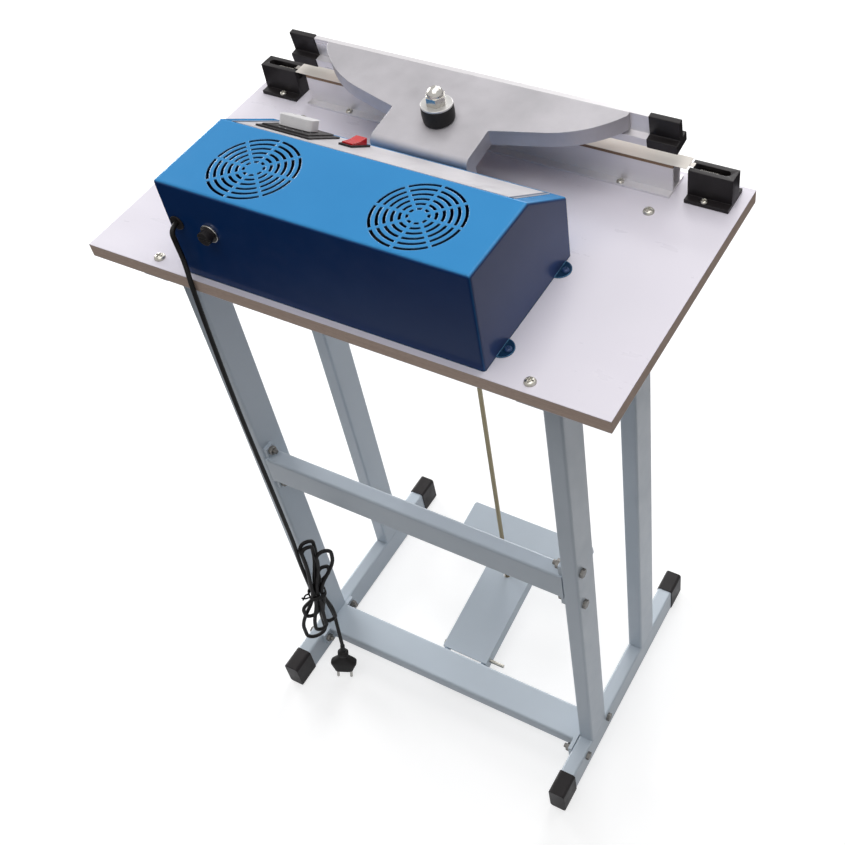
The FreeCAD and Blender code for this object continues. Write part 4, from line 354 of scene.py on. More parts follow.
def coil_material():
    """Overlapping turns of yellow tape round a winding."""
    tree = Tree("taped_winding")
    turns = tree.bands("Z", 26.0, "SAW")
    dirt = tree.noise(50.0, detail=4.0)
    tape = tree.mix(tree.spread(dirt, 0.3, 0.7, 0.0, 1.0), (0.62, 0.46, 0.09, 1), (0.5, 0.34, 0.06, 1))
    tree.put(tree.shader.inputs["Base Color"], tree.mix(tree.spread(turns, 0.9, 1.0, 0.0, 0.6), tape, (0.3, 0.2, 0.04, 1)))
    tree.put(tree.shader.inputs["Roughness"], tree.spread(dirt, 0.3, 0.7, 0.3, 0.5))
    tree.put(tree.shader.inputs["Normal"], tree.bump(turns, 0.4, 0.15))
    return tree.material


def overlay_material():
    """Pale film with a dark stripe across each end."""
    film = surface(
        "overlay_cream", (0.55, 0.53, 0.55), (0.51, 0.49, 0.51), (0.3, 0.45), blotch=14.0, grain=1600.0, edge_mm=0.3,
    )
    tree = Tree("overlay_cream", film)
    cream = tree.shader.inputs["Base Color"].links[0].from_socket
    place = tree.add("SeparateXYZ")
    tree.put(place.inputs["Vector"], tree.add("TexCoord").outputs["Object"])
    from_middle = tree.arithmetic("ABSOLUTE", place.outputs["X"], 0.0)
    stripe_start = 0.1465
    stripe_end = 0.1508
    inside = tree.spread(from_middle, stripe_start, stripe_start + 0.0002, 0.0, 1.0)
    outside = tree.spread(from_middle, stripe_end, stripe_end + 0.0002, 1.0, 0.0)
    stripe = tree.arithmetic("MULTIPLY", inside, outside)
    tree.put(tree.shader.inputs["Base Color"], tree.mix(stripe, cream, (0.035, 0.06, 0.11, 1)))
    return tree.material


BARE_STEEL = (0.5, 0.5, 0.5)
finish = {
    "stand_paint": surface(
        "stand_paint", (0.562, 0.63, 0.695), (0.525, 0.592, 0.658), (0.28, 0.42), blotch=7.0, grain=1100.0,
        grain_depth_mm=0.03, coat=0.25, coat_roughness=0.22, worn=(0.74, 0.77, 0.8), wear=0.55, edge_mm=0.8,
    ),
    "black_plastic": surface(
        "black_plastic", (0.011, 0.009, 0.0095), (0.017, 0.014, 0.015), (0.36, 0.52), blotch=40.0, grain=1500.0,
        grain_depth_mm=0.04, worn=(0.06, 0.055, 0.058), wear=0.8, edge_mm=0.9, specular=0.25,
    ),
    "zinc_steel": surface(
        "zinc_steel", (0.54, 0.52, 0.47), (0.42, 0.4, 0.35), (0.24, 0.42), blotch=160.0, grain=1200.0,
        metallic=1.0, worn=(0.75, 0.74, 0.72), wear=0.6, edge_mm=0.4,
    ),
    "tabletop_board": board_material(),
    "box_blue": box_material(),
    "overlay_cream": overlay_material(),
    "knob_grey": surface(
        "knob_grey", (0.77, 0.755, 0.76), (0.69, 0.675, 0.68), (0.22, 0.38), blotch=60.0, grain=900.0,
        worn=(0.82, 0.81, 0.81), wear=0.7, edge_mm=0.8,
    ),
    "rocker_red": surface(
        "rocker_red", (0.56, 0.006, 0.008), (0.47, 0.004, 0.006), (0.16, 0.3), blotch=70.0, grain=900.0,
        grain_strength=0.15, coat=0.15, worn=(0.7, 0.05, 0.045), wear=0.6, edge_mm=0.6, specular=0.3,
    ),
    "bright_metal": surface(
        "bright_metal", (0.6, 0.58, 0.54), (0.5, 0.48, 0.45), (0.18, 0.3), blotch=120.0, grain=500.0,
        grain_strength=0.05, grain_depth_mm=0.01, metallic=1.0, edge_mm=0.4,
    ),
    "cast_aluminium": surface(
        "cast_aluminium", (0.51, 0.49, 0.515), (0.40, 0.385, 0.405), (0.36, 0.55), blotch=16.0, grain=650.0,
        grain_depth_mm=0.07, grain_strength=0.55, metallic=0.35, worn=(0.75, 0.73, 0.75), wear=0.6, edge_mm=1.2,
    ),
    "jaw_aluminium": surface(
        "jaw_aluminium", (0.85, 0.825, 0.84), (0.75, 0.725, 0.74), (0.24, 0.4), blotch=30.0, grain=900.0,
        grain_depth_mm=0.03, stretch=(0.03, 1, 1), metallic=0.45, worn=(0.9, 0.89, 0.9), wear=0.6, edge_mm=0.5,
    ),
    "silicone_red": surface(
        "silicone_red", (0.42, 0.12, 0.07), (0.34, 0.09, 0.05), (0.45, 0.62), blotch=30.0, grain=1300.0, edge_mm=0.8,
    ),
    "black_rubber": surface(
        "black_rubber", (0.010, 0.0095, 0.0095), (0.017, 0.016, 0.0155), (0.5, 0.72), blotch=50.0, grain=1100.0,
        grain_depth_mm=0.06, worn=(0.05, 0.048, 0.046), wear=0.7, edge_mm=1.0, specular=0.25,
    ),
    "insulation": surface(
        "insulation", (0.3, 0.19, 0.11), (0.22, 0.13, 0.075), (0.5, 0.7), blotch=60.0, grain=800.0,
        stretch=(0.1, 1, 1), edge_mm=0.4,
    ),
    "element_metal": surface(
        "element_metal", (0.45, 0.43, 0.41), (0.36, 0.33, 0.3), (0.3, 0.5), blotch=40.0, grain=900.0,
        stretch=(0.05, 1, 1), metallic=1.0, edge_mm=0.1,
    ),
    "cover_cloth": cloth_material(),
    "core_iron": core_material(),
    "coil_wrap": coil_material(),
    "cord_black": surface(
        "cord_black", (0.0065, 0.0055, 0.0055), (0.010, 0.0085, 0.0085), (0.4, 0.55), blotch=70.0, grain=1300.0,
        grain_depth_mm=0.03, worn=(0.025, 0.024, 0.024), wear=0.4, edge_mm=0.8, specular=0.22,
    ),
}
satin_zinc = surface(
    "satin_zinc", (0.66, 0.65, 0.63), (0.56, 0.55, 0.54), (0.3, 0.42), blotch=150.0, grain=700.0,
    grain_depth_mm=0.02, grain_strength=0.2, metallic=0.7, worn=(0.8, 0.79, 0.78), wear=0.5, edge_mm=0.4,
)
dull_zinc = surface(
    "dull_zinc", (0.25, 0.24, 0.225), (0.17, 0.163, 0.153), (0.32, 0.5), blotch=160.0, grain=1200.0,
    metallic=0.9, worn=BARE_STEEL, wear=0.5, edge_mm=0.4,
)
rod_zinc = surface(
    "rod_zinc", (0.36, 0.31, 0.2), (0.28, 0.235, 0.15), (0.3, 0.48), blotch=35.0, grain=900.0,
    stretch=(1, 1, 0.1), metallic=0.9, worn=BARE_STEEL, wear=0.4, edge_mm=0.4,
)
# Painted shade: dark navy heads for the screws in the ears, in place of bright zinc.
ear_screw_shade = surface(
    "ear_screw_shade", (0.012, 0.05, 0.15), (0.02, 0.06, 0.17), (0.28, 0.42), blotch=150.0, grain=900.0,
    worn=(0.3, 0.33, 0.38), wear=0.6, edge_mm=0.4,
)


def dial_material():
    """Black moulding with a ring of plain pale ticks round the timer knob."""
    moulding = surface(
        "dial_black", (0.011, 0.009, 0.0095), (0.017, 0.014, 0.015), (0.36, 0.52), blotch=40.0, grain=1500.0,
        grain_depth_mm=0.04, worn=(0.06, 0.055, 0.058), wear=0.8, edge_mm=0.9, specular=0.25,
    )
    tree = Tree("dial_black", moulding)
    black = tree.shader.inputs["Base Color"].links[0].from_socket
    on_dial = tree.add("Mapping", vector_type="TEXTURE")
    tree.put(on_dial.inputs["Vector"], tree.add("TexCoord").outputs["Object"])
    on_dial.inputs["Location"].default_value = (0.101, 0.000123, 0.848293)
    on_dial.inputs["Rotation"].default_value = (math.radians(33.19), 0.0, 0.0)
    parts = tree.add("SeparateXYZ")
    tree.put(parts.inputs["Vector"], on_dial.outputs["Vector"])
    across, along = parts.outputs["X"], parts.outputs["Y"]
    reach = tree.arithmetic(
        "SQRT",
        tree.arithmetic("ADD", tree.arithmetic("POWER", across, 2.0), tree.arithmetic("POWER", along, 2.0)),
        0.0,
    )
    turned = tree.arithmetic("ARCTAN2", across, along)
    tick_step = math.radians(24.0)
    share = tree.arithmetic("PINGPONG", tree.arithmetic("DIVIDE", turned, tick_step), 0.5)
    aside = tree.arithmetic("MULTIPLY", tree.arithmetic("MULTIPLY", share, tick_step), reach)
    tick = tree.spread(aside, 0.0004, 0.0005, 1.0, 0.0)
    inner = tree.spread(reach, 0.0190, 0.0191, 0.0, 1.0)
    outer = tree.spread(reach, 0.0205, 0.0206, 1.0, 0.0)
    marked = tree.spread(
        tree.arithmetic("ABSOLUTE", turned, 0.0), math.radians(125.0), math.radians(126.0), 1.0, 0.0
    )
    ring = tree.arithmetic("MULTIPLY", tree.arithmetic("MULTIPLY", inner, outer), marked)
    ink = tree.arithmetic("MULTIPLY", ring, tick)
    tree.put(tree.shader.inputs["Base Color"], tree.mix(ink, black, (0.6, 0.59, 0.57, 1)))
    return tree.material


node_slot = {row["node"]: row["material_slot"] for row in frame["record"]["subparts"]}
node_finish = {node: finish[slot] for node, slot in node_slot.items()}
node_finish["pull_rod"] = rod_zinc
node_finish["stud_washer"] = satin_zinc
node_finish["frame_bolts"] = dull_zinc
node_finish["hex_nuts"] = dull_zinc
node_finish["timer_bezel"] = dial_material()
for node, thing in frame["nodes"].items():
    thing.data.materials.clear()
    thing.data.materials.append(node_finish[node])


def carried_by(node):
    return frame["nodes"][node]["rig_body"]


def dress(piece, node, *others):
    """The piece stands for a node: it takes its finish and moves with its body."""
    piece.data.materials.clear()
    piece.data.materials.append(node_finish[node])
    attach(piece, carried_by(node))
    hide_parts(node, *others)
    return piece


def new_mesh(name, shape, smooth=40.0):
    """An object from a bmesh, smooth except along edges sharper than an angle in degrees."""
    mesh = bpy.data.meshes.new(name)
    bmesh.ops.recalc_face_normals(shape, faces=shape.faces)
    shape.to_mesh(mesh)
    shape.free()
    mesh.polygons.foreach_set("use_smooth", [True] * len(mesh.polygons))
    mesh.set_sharp_from_angle(angle=math.radians(smooth))
    return link(bpy.data.objects.new(name, mesh))


# Rigid nodes with their sharp edges broken, as moulded, cast and cut pieces have them.
EDGE_RADIUS_MM = {
    "press_arm": 1.8,
    "upper_jaw_bar": 0.5,
    "silicone_pad": 0.8,
    "upper_end_caps": 0.9,
    "lower_jaw_bar": 0.4,
    "left_lower_end_block": 1.1,
    "right_lower_end_block": 1.1,
    "timer_bezel": 0.8,
    "timer_knob": 1.4,
    "rocker_button": 0.7,
    "rocker_switch_body": 0.5,
    "fuse_cap": 0.5,
    "fuse_holder": 0.5,
    "cord_gland": 0.5,
    "hinge_bracket": 0.8,
    "hinge_pin": 0.8,
    "flat_bars": 0.4,
    "frame_bolts": 0.4,
    "hex_nuts": 0.4,
    "rod_nuts": 0.4,
    "stud_washer": 0.4,
    "dome_nut": 0.5,
    "switch_collar": 0.8,
    "closing_switch": 0.6,
    "pedal_arm": 0.6,
    "pedal_tread": 0.8,
    "pedal_pin": 0.5,
    "plug_pins": 0.9,
    "transformer_coil": 1.5,
}
WELD = 0.00001
SHARP = math.radians(35.0)


def break_edges(node, radius_mm):
    """A copy of a rigid node with its sharp edges rounded."""
    shape = bmesh.new()
    shape.from_mesh(frame["nodes"][node].data)
    bmesh.ops.remove_doubles(shape, verts=shape.verts, dist=WELD)
    bmesh.ops.dissolve_limit(
        shape, angle_limit=math.radians(0.5), verts=shape.verts, edges=shape.edges, delimit=set()
    )
    weight = shape.edges.layers.float.new("bevel_weight_edge")
    for edge in shape.edges:
        if len(edge.link_faces) == 2 and edge.calc_face_angle() > SHARP:
            edge[weight] = 1.0
    piece = new_mesh(f"{node}_finish", shape)
    bevel = piece.modifiers.new("broken_edges", "BEVEL")
    bevel.width = radius_mm * MM
    bevel.segments = 2
    bevel.limit_method = "WEIGHT"
    bevel.harden_normals = True
    return dress(piece, node)


for node, radius_mm in EDGE_RADIUS_MM.items():
    break_edges(node, radius_mm)


# Mains cord: one smooth line from the gland, down to the tied hank and on to the plug.
HANK_TURN = math.radians(53.8)
hang_x_mm = 153.6
hang_y_mm = 145.5
inlet_height_mm = 823.0


def hank_point(along, out, height):
    """A point of the hank, in millimetres along its width, out of its plane and above the floor."""
    x = hang_x_mm + along * math.cos(HANK_TURN) - out * math.sin(HANK_TURN)
    y = hang_y_mm + along * math.sin(HANK_TURN) + out * math.cos(HANK_TURN)
    return (x, y, height)


cord_exit_mm = (hang_x_mm, 131.35, inlet_height_mm)
drop_mm = [
    cord_exit_mm,
    (152.6, 141.3, inlet_height_mm),
    (150.2, 142.8, 809.0),
    (150.8, 141.4, 790.0),
    (153.2, 140.4, 772.0),
    (155.6, 139.9, 757.0),
    (156.6, 140.2, 735.0),
    (156.4, 142.0, 690.0),
    (155.8, 144.0, 630.0),
    (155.2, hang_y_mm, 550.0),
    (154.4, hang_y_mm, 470.0),
]
# The tied waist holds nine strands in three rows of three, listed in the order in which the cord passes them.
WAIST_TOP_MM = 219.5
WAIST_BOTTOM_MM = 207.5
LEFT, INNER, RIGHT = 1.4, -4.0, -9.4
BACK, MIDDLE, FRONT = -5.2, 0.0, 5.2
strands = [
    (LEFT, BACK),
    (INNER, BACK),
    (LEFT, MIDDLE),
    (INNER, MIDDLE),
    (LEFT, FRONT),
    (INNER, FRONT),
    (RIGHT, FRONT),
    (RIGHT, MIDDLE),
    (RIGHT, BACK),
]


class Fold(NamedTuple):
    """A round fold at the end of a turn of the hank, in millimetres."""

    middle: float  # along the hank
    height: float  # above the floor
    half_width: float  # towards the side that the cord comes in by
    out: tuple  # out of the hank's plane, where the cord comes in and where it goes back
    swing: tuple  # shares of the way in and back over which the cord swings aside


# The folds between one strand and the next, in turn below and above the waist.
folds = [
    Fold(16.3, 127.0, 13.2, out=(BACK, BACK), swing=(0.8, 1.0)),
    Fold(-13.0, 308.0, -9.2, out=(-4.4, -0.6), swing=(0.9, 0.7)),
    Fold(12.0, 178.6, 9.0, out=(MIDDLE, MIDDLE), swing=(0.65, 1.0)),
    Fold(-11.2, 305.0, -7.4, out=(0.4, 4.4), swing=(1.0, 0.8)),
    Fold(7.6, 147.0, 7.4, out=(FRONT, FRONT), swing=(1.0, 1.0)),
    Fold(-28.4, 286.5, 9.8, out=(FRONT, FRONT), swing=(1.0, 0.9)),
    Fold(-7.2, 150.6, 7.6, out=(-0.2, 1.2), swing=(1.0, 0.8)),
    Fold(-21.4, 250.4, 7.4, out=(0.4, -2.4), swing=(1.0, 0.9)),
]
SIDE_STEPS = 4
OUT_SHARE = 0.7
CORNER = math.tan(math.pi / 8)


def ease(share):
    """Nought to one, starting and ending gently."""
    share = min(share, 1.0)
    return share * share * (3 - 2 * share)


def side(strand, waist, edge, out, height, swing):
    """Points from a strand at the waist aside to the edge of a fold."""
    points = []
    for step in range(1, SIDE_STEPS + 1):
        gone = step / SIDE_STEPS
        along = strand[0] + (edge - strand[0]) * ease(gone / swing)
        moved_out = strand[1] + (out - strand[1]) * ease(gone / OUT_SHARE)
        points.append((along, moved_out, waist + (height - waist) * gone))
    return points


def turn(strand, fold, next_strand):
    """Points of one turn of the hank: out of a strand, round the fold and into the next strand."""
    upwards = fold.height > WAIST_TOP_MM
    waist = WAIST_TOP_MM if upwards else WAIST_BOTTOM_MM
    rise = abs(fold.half_width) if upwards else -abs(fold.half_width)
    width = fold.half_width
    out_in, out_back = fold.out
    out_middle = (out_in + out_back) / 2
    shoulder = fold.height - rise * CORNER
    bend = fold.height + rise * CORNER
    crown = fold.height + rise
    return [
        (*strand, waist),
        *side(strand, waist, fold.middle + width, out_in, shoulder, fold.swing[0]),
        (fold.middle + width, out_in, bend),
        (fold.middle + width * CORNER, out_middle, crown),
        (fold.middle - width * CORNER, out_middle, crown),
        (fold.middle - width, out_back, bend),
        *reversed(side(next_strand, waist, fold.middle - width, out_back, shoulder, fold.swing[1])),
        (*next_strand, waist),
    ]


entry = [
    (0.0, 0.0, 385.0),
    (0.0, -1.5, 324.0),
    (1.4, -2.5, 298.5),
    (2.1, -3.5, 273.5),
    (1.9, -4.5, 250.0),
    (*strands[0], 231.0),
    (*strands[0], WAIST_TOP_MM),
]
plug_out_mm = 4.8
plug_neck = (-8.7, plug_out_mm, 81.0)
tail = [
    (*strands[-1], WAIST_BOTTOM_MM),
    (-10.4, BACK, 194.0),
    (-13.0, BACK, 158.0),
    (-13.8, -3.8, 141.5),
    (-12.4, -0.6, 126.0),
    (-10.7, 3.0, 108.4),
    (-9.5, plug_out_mm, 95.0),
    plug_neck,
]
hank = list(entry)
for strand, fold, next_strand in zip(strands, folds, strands[1:]):
    hank += turn(strand, fold, next_strand)
hank += tail
cord_route_mm = drop_mm + [hank_point(*point) for point in hank]
CORD_DIAMETER = 0.005


def smooth_curve(name, route_mm, diameter, cyclic=False):
    """A round NURBS tube that follows control points."""
    curve = bpy.data.curves.new(name, "CURVE")
    curve.dimensions = "3D"
    spline = curve.splines.new("NURBS")
    spline.points.add(len(route_mm) - 1)
    for point, place in zip(spline.points, route_mm):
        point.co = (*in_metres(place), 1.0)
    spline.order_u = 3
    spline.use_endpoint_u = not cyclic
    spline.use_cyclic_u = cyclic
    spline.resolution_u = 8
    curve.bevel_depth = diameter / 2
    curve.bevel_resolution = 4
    curve.use_fill_caps = True
    return link(bpy.data.objects.new(name, curve))


mains_cord = dress(
    smooth_curve("mains_cord", cord_route_mm, CORD_DIAMETER), "power_cord", "cord_hank", "cord_tail"
)

# Plug: rounded sections from the ribbed neck to the pin face, tilted as it hangs.
PLUG_TURN = math.radians(-25.8)
PLUG_TILT = math.radians(-9.3)
plug_place = (
    Matrix.Translation(in_metres(hank_point(*plug_neck)))
    @ Matrix.Rotation(HANK_TURN, 4, "Z")
    @ Matrix.Rotation(PLUG_TILT, 4, "Y")
    @ Matrix.Rotation(PLUG_TURN, 4, "Z")
)
# Each section: depth below the neck's top, width, thickness and squareness, in millimetres.
PLUG_SECTIONS = [
    (0.0, 6.2, 6.2, 2.0),
    (11.0, 6.6, 6.6, 2.0),
    (13.0, 7.2, 7.2, 2.0),
    (14.0, 12.5, 11.0, 2.2),
    (16.0, 15.0, 12.4, 2.4),
    (21.0, 15.0, 12.4, 2.5),
    (22.6, 11.5, 10.5, 2.5),
    (26.0, 10.5, 10.2, 2.6),
    (28.0, 13.5, 11.5, 2.8),
    (31.0, 20.5, 12.6, 3.0),
    (34.5, 28.5, 13.2, 3.4),
    (37.5, 34.2, 13.6, 3.8),
    (40.0, 36.2, 13.7, 4.0),
    (42.5, 35.8, 13.7, 4.0),
    (46.0, 33.2, 13.7, 4.0),
    (50.0, 30.2, 13.7, 4.0),
    (54.0, 27.4, 13.7, 4.0),
    (57.2, 25.6, 13.2, 4.0),
    (58.0, 24.6, 12.2, 4.0),
]
RING_POINTS = 40


def superellipse(half_width, half_depth, squareness, count):
    """Points round a rounded oblong that grows squarer with its exponent."""
    points = []
    for step in range(count):
        angle = 2 * math.pi * step / count
        cosine, sine = math.cos(angle), math.sin(angle)
        x = half_width * math.copysign(abs(cosine) ** (2 / squareness), cosine)
        y = half_depth * math.copysign(abs(sine) ** (2 / squareness), sine)
        points.append((x, y))
    return points


def loft(shape, rings, close_ends=True):
    """Skins rings of vertices, each with the same count."""
    for lower, upper in zip(rings, rings[1:]):
        for index in range(len(lower)):
            after = (index + 1) % len(lower)
            shape.faces.new((lower[index], lower[after], upper[after], upper[index]))
    if close_ends:
        shape.faces.new(rings[0])
        shape.faces.new(list(reversed(rings[-1])))


plug_shape = bmesh.new()
plug_rings = []
for depth, width, thickness, squareness in PLUG_SECTIONS:
    outline = superellipse(width / 2, thickness / 2, squareness, RING_POINTS)
    plug_rings.append([plug_shape.verts.new(in_metres((x, y, -depth))) for x, y in outline])
loft(plug_shape, plug_rings)
plug = new_mesh("plug_moulding", plug_shape, smooth=32.0)
plug.matrix_world = plug_place
dress(plug, "mains_plug")

# Twist tie round the waist of the hank, with its two ends wrung together.
TIE_TURNS = 3
TIE_STEPS = 16
TIE_WIRE = 0.0022
TIE_HEIGHT_MM = 210.0
tie_rise_mm = 2.4
tie_middle_mm = -4.0
tie_outline = superellipse(10.8, 9.6, 2.8, TIE_STEPS)
tie_first_end = [(17.0, 1.0, 217.0), (14.2, 2.2, 214.4), (11.0, 1.2, 211.8)]
tie_last_end = [(10.6, -0.6, 217.6), (13.6, 0.9, 216.2), (16.8, 3.0, 213.8)]
tie_wraps = []
for step in range(TIE_TURNS * TIE_STEPS + 1):
    along, out = tie_outline[step % TIE_STEPS]
    tie_wraps.append((tie_middle_mm + along, out, TIE_HEIGHT_MM + tie_rise_mm * step / TIE_STEPS))
tie_route_mm = [hank_point(*point) for point in tie_first_end + tie_wraps + tie_last_end]
tie = dress(smooth_curve("cord_tie_wrap", tie_route_mm, TIE_WIRE), "cord_tie")

# Rubber bush under the washer: it bulges, and is bent between the tilt of the open arm and the lean of the rod.
ARM_OPEN = math.radians(7.5)
ROD_LEAN = math.radians(1.351)
stud_pivot_mm = Vector((0.0, -88.573, 839.134))
arm_normal = Vector((0.0, math.sin(ARM_OPEN), math.cos(ARM_OPEN)))
rod_normal = Vector((0.0, -math.sin(ROD_LEAN), math.cos(ROD_LEAN)))
bush_half_mm = 8.0
bush_gap_mm = 0.05
bush_bottom_mm = stud_pivot_mm - arm_normal * (bush_half_mm - bush_gap_mm)
bush_top_mm = stud_pivot_mm + rod_normal * (bush_half_mm - bush_gap_mm)
# Share of the height and radius of each ring of the bush, in millimetres.
BUSH_PROFILE = [(0.0, 15.2), (0.03, 15.8), (0.12, 16.15), (0.5, 16.5), (0.88, 16.15), (0.97, 15.8), (1.0, 15.2)]
BUSH_POINTS = 56
bush_shape = bmesh.new()
bush_rings = []
for share, radius in BUSH_PROFILE:
    centre = bush_bottom_mm.lerp(bush_top_mm, share)
    across = arm_normal.lerp(rod_normal, share).normalized()
    forward = across.cross(Vector((1, 0, 0)))
    ring = []
    for step in range(BUSH_POINTS):
        angle = 2 * math.pi * step / BUSH_POINTS
        offset = Vector((1, 0, 0)) * math.cos(angle) + forward * math.sin(angle)
        ring.append(bush_shape.verts.new((centre + offset * radius) * MM))
    bush_rings.append(ring)
loft(bush_shape, bush_rings)
bush = new_mesh("rubber_bush_barrel", bush_shape, smooth=50.0)
bush.data.materials.append(finish["black_rubber"])
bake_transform(bush)
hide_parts("rubber_bush")


# Springs: round wire with closed end turns.
def spring_mesh(name, start, axis, side, length, outer_diameter, wire, turns, end_turns):
    """A coil along an axis; its end turns lie close together."""
    radius = (outer_diameter - wire) / 2
    across = axis.cross(side)
    steps_per_turn = 28
    wire_points = 10
    total_turns = turns + 2 * end_turns
    open_length = length - wire - 2 * end_turns * wire
    shape = bmesh.new()
    rings = []
    for step in range(total_turns * steps_per_turn + 1):
        turned = step / steps_per_turn
        closed_below = min(turned, end_turns)
        closed_above = max(turned - end_turns - turns, 0)
        opened = min(max(turned - end_turns, 0), turns)
        rise = wire / 2 + (closed_below + closed_above) * wire + opened * open_length / turns
        angle = 2 * math.pi * turned
        outward = side * math.cos(angle) + across * math.sin(angle)
        centre = start + axis * rise + outward * radius
        ring = []
        for corner in range(wire_points):
            turn = 2 * math.pi * corner / wire_points
            offset = outward * math.cos(turn) + axis * math.sin(turn)
            ring.append(shape.verts.new((centre + offset * wire / 2) * MM))
        rings.append(ring)
    loft(shape, rings)
    return new_mesh(name, shape, smooth=60.0)


spring_low, spring_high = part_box("return_spring")
spring_middle_mm = (spring_low + spring_high) / 2 / MM
spring_foot_mm = Vector((spring_middle_mm.x, spring_middle_mm.y, spring_low.z / MM))
spring = spring_mesh(
    "return_spring_coil", spring_foot_mm, Vector((0, 0, 1)), Vector((1, 0, 0)),
    (spring_high.z - spring_low.z) / MM, 27.0, 2.5, turns=6, end_turns=1,
)
dress(spring, "return_spring")
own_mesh(spring)

jaw_y_mm = -163.5
tension_low, tension_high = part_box("tension_springs")
coil_level_mm = (tension_low.z + tension_high.z) / 2 / MM
coil_length_mm = 20.0
coil_start_mm = tension_high.x / MM - coil_length_mm
coil_pieces = []
for sign in (-1, 1):
    start = Vector((sign * coil_start_mm, jaw_y_mm, coil_level_mm))
    coil_pieces.append(
        spring_mesh(
            f"tension_coil_{'right' if sign > 0 else 'left'}", start, Vector((sign, 0, 0)), Vector((0, 0, 1)),
            coil_length_mm, 6.0, 1.0, turns=8, end_turns=2,
        )
    )
for piece in coil_pieces:
    dress(piece, "tension_springs")


# Domed screws with a cross recess.
def screw_mesh(name, spots_mm, head_diameter, head_height, shank_diameter):
    """Pan heads at (x, y, level under the head, length of shank)."""
    profile = [(1.0, 0.0), (1.0, 0.22), (0.93, 0.5), (0.78, 0.78), (0.55, 0.94), (0.28, 1.0)]
    count = 32
    shape = bmesh.new()
    for x, y, seat, shank in spots_mm:
        rings = []
        for depth in (-shank, 0.0):
            outline = superellipse(shank_diameter / 2, shank_diameter / 2, 2.0, count)
            rings.append([shape.verts.new(in_metres((x + u, y + v, seat + depth))) for u, v in outline])
        for share, height in profile:
            radius = head_diameter / 2 * share
            outline = superellipse(radius, radius, 2.0, count)
            rings.append(
                [shape.verts.new(in_metres((x + u, y + v, seat + height * head_height))) for u, v in outline]
            )
        loft(shape, rings)
    head = new_mesh(name, shape, smooth=50.0)
    cutter_shape = bmesh.new()
    arm = head_diameter * 0.3
    web = head_diameter * 0.085
    for x, y, seat, shank in spots_mm:
        for half_x, half_y in ((arm, web), (web, arm)):
            top = seat + head_height * 1.2
            floor = seat + head_height * 0.45
            place = Matrix.Translation(in_metres((x, y, (top + floor) / 2)))
            scale = Matrix.Diagonal((*in_metres((2 * half_x, 2 * half_y, top - floor)), 1.0))
            bmesh.ops.create_cube(cutter_shape, size=1.0, matrix=place @ scale)
    cutter = new_mesh(f"{name}_cutter", cutter_shape)
    recess = head.modifiers.new("recess", "BOOLEAN")
    recess.operation = "DIFFERENCE"
    recess.solver = "EXACT"
    recess.use_self = True
    recess.object = cutter
    bpy.context.view_layer.update()
    cut_head = head.evaluated_get(bpy.context.evaluated_depsgraph_get())
    head.data = bpy.data.meshes.new_from_object(cut_head)
    head.modifiers.clear()
    bpy.data.objects.remove(cutter)
    return head


TABLE_TOP_MM = 757.0
table_bolt_spots = []
for x in (-207.0, 207.0):
    for y in (-120.0, 124.0):
        table_bolt_spots.append((x, y, TABLE_TOP_MM, 28.0))
dress(screw_mesh("table_bolt_heads", table_bolt_spots, 11.6, 3.6, 6.0), "table_bolts")

screw_spots = []
ear_screw_spots = []
for sign in (-1, 1):
    for y in (98.0, -13.0):
        ear_screw_spots.append((sign * 171.35, y, TABLE_TOP_MM + 1.2, 13.2))
    screw_spots.append((sign * 42.0, -53.25, TABLE_TOP_MM + 5.0, 17.0))
    for offset in (-14.3, 14.3):
        screw_spots.append((sign * 163.0, jaw_y_mm + offset, TABLE_TOP_MM + 2.5, 14.5))
        screw_spots.append((sign * 252.0, jaw_y_mm + offset, TABLE_TOP_MM + 4.0, 16.0))
dress(screw_mesh("board_screw_heads", screw_spots, 7.6, 2.4, 4.0), "wood_screws")
ear_screws = dress(screw_mesh("ear_screw_heads", ear_screw_spots, 7.6, 2.4, 4.0), "wood_screws")
# The ear screws take the dark navy of the painted shade on the ears.
ear_screws.data.materials[0] = ear_screw_shade

# Floor, backdrop and light.
floor_shape = bmesh.new()
floor_half = 6.0
bmesh.ops.create_grid(floor_shape, x_segments=1, y_segments=1, size=floor_half)
floor = new_mesh("studio_floor", floor_shape)
floor.location.z = -0.0005


def seen_directly(tree):
    """One for camera and glass rays, nought for the light that the floor gives back."""
    path = tree.add("LightPath")
    return tree.arithmetic("MAXIMUM", path.outputs["Is Camera Ray"], path.outputs["Is Transmission Ray"])


floor_tree = Tree("studio_floor")
dust = floor_tree.noise(3.0, detail=4.0)
pale = floor_tree.mix(floor_tree.spread(dust, 0.3, 0.7, 0.0, 1.0), (0.5, 0.5, 0.5, 1), (0.48, 0.48, 0.48, 1))
shown = floor_tree.add("BsdfDiffuse")
floor_tree.put(shown.inputs["Color"], pale)
glow = floor_tree.add("Emission")
glow.inputs["Strength"].default_value = 0.66
together = floor_tree.add("AddShader")
floor_tree.put(together.inputs[0], shown.outputs[0])
floor_tree.put(together.inputs[1], glow.outputs[0])
# The floor gives light back round the machine, and little from further off.
spot = floor_tree.add("VectorMath", operation="LENGTH")
floor_tree.put(spot.inputs[0], floor_tree.add("TexCoord").outputs["Object"])
lit_radius = 0.7
dark_radius = 1.1
near = floor_tree.spread(spot.outputs["Value"], lit_radius, dark_radius, 1.0, 0.0)
bounce = floor_tree.add("BsdfDiffuse")
bounce_colour = floor_tree.mix(near, (0.05, 0.05, 0.055, 1), (0.65, 0.66, 0.68, 1))
floor_tree.put(bounce.inputs["Color"], bounce_colour)
mirrored_glow = floor_tree.add("Emission")
mirrored_share = floor_tree.arithmetic("MULTIPLY", near, floor_tree.add("LightPath").outputs["Is Glossy Ray"])
floor_tree.put(mirrored_glow.inputs["Strength"], floor_tree.arithmetic("MULTIPLY", mirrored_share, 0.3))
given_back = floor_tree.add("AddShader")
floor_tree.put(given_back.inputs[0], bounce.outputs[0])
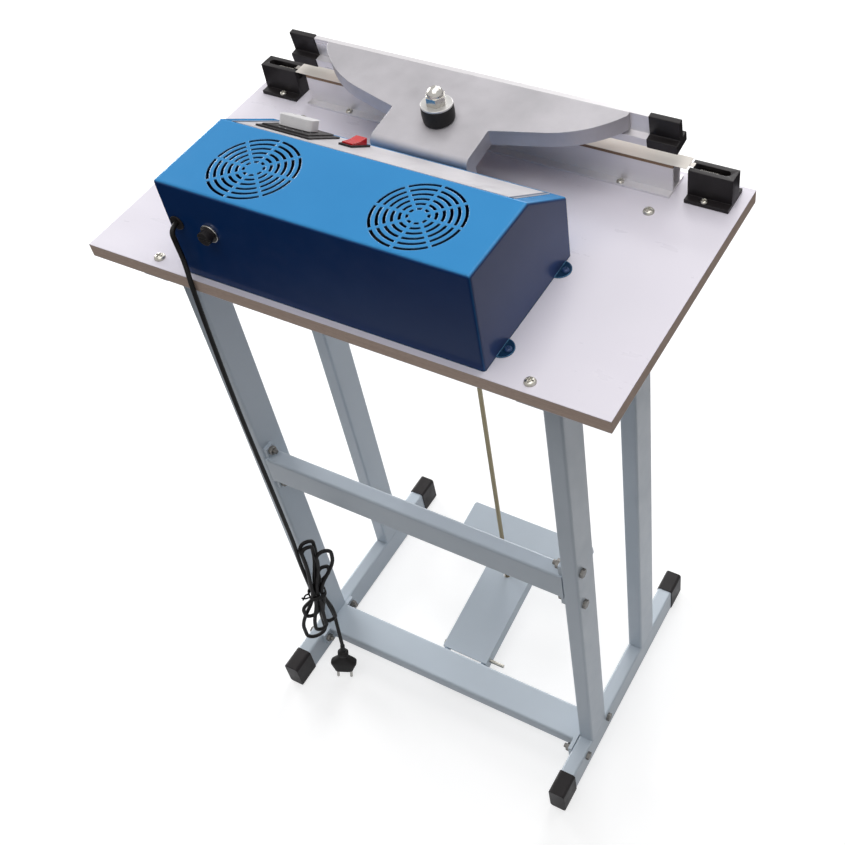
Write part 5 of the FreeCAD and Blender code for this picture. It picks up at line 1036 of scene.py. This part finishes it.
floor_tree.put(given_back.inputs[1], mirrored_glow.outputs[0])
chosen = floor_tree.add("MixShader")
floor_tree.put(chosen.inputs[0], seen_directly(floor_tree))
floor_tree.put(chosen.inputs[1], given_back.outputs[0])
floor_tree.put(chosen.inputs[2], together.outputs[0])
floor_tree.put(floor_tree.nodes["Material Output"].inputs["Surface"], chosen.outputs[0])
floor.data.materials.append(floor_tree.material)

world = bpy.data.worlds.new("studio")
world.use_nodes = True
scene.world = world
world_nodes = world.node_tree.nodes
world_links = world.node_tree.links
background = world_nodes["Background"]
background.inputs["Color"].default_value = (0.97, 0.98, 1.0, 1)
background.inputs["Strength"].default_value = 0.23
white = world_nodes.new("ShaderNodeBackground")
white.inputs["Strength"].default_value = 1.0
world_path = world_nodes.new("ShaderNodeLightPath")
world_mix = world_nodes.new("ShaderNodeMixShader")
world_mirror = world_nodes.new("ShaderNodeMath")
world_mirror.operation = "MAXIMUM"
world_links.new(world_path.outputs["Is Camera Ray"], world_mirror.inputs[0])
world_links.new(world_path.outputs["Is Transmission Ray"], world_mirror.inputs[1])
world_seen = world_nodes.new("ShaderNodeMath")
world_seen.operation = "MAXIMUM"
world_links.new(world_mirror.outputs[0], world_seen.inputs[0])
world_links.new(world_path.outputs["Is Glossy Ray"], world_seen.inputs[1])
world_links.new(world_seen.outputs[0], world_mix.inputs[0])
world_links.new(background.outputs[0], world_mix.inputs[1])
world_links.new(white.outputs[0], world_mix.inputs[2])
world_links.new(world_mix.outputs[0], world_nodes["World Output"].inputs["Surface"])


def soft_lamp(name, place, aim, width, power):
    lamp = bpy.data.lights.new(name, "AREA")
    lamp.shape = "SQUARE"
    lamp.size = width
    lamp.energy = power
    thing = link(bpy.data.objects.new(name, lamp))
    thing.location = place
    thing.rotation_euler = (Vector(aim) - Vector(place)).to_track_quat("-Z", "Y").to_euler()
    return thing


middle = (0.0, 0.0, 0.7)
soft_lamp("key_lamp", (-0.2, -1.1, 2.8), middle, 1.8, 21.0)
soft_lamp("top_lamp", (-0.2, 0.5, 2.9), middle, 1.8, 23.0)
soft_lamp("low_lamp", (2.4, -1.0, 1.0), (0.0, 0.0, 0.1), 1.2, 40.0)
soft_lamp("front_lamp", (0.5, -2.6, 1.4), (0.0, 0.0, 0.3), 1.2, 30.0)
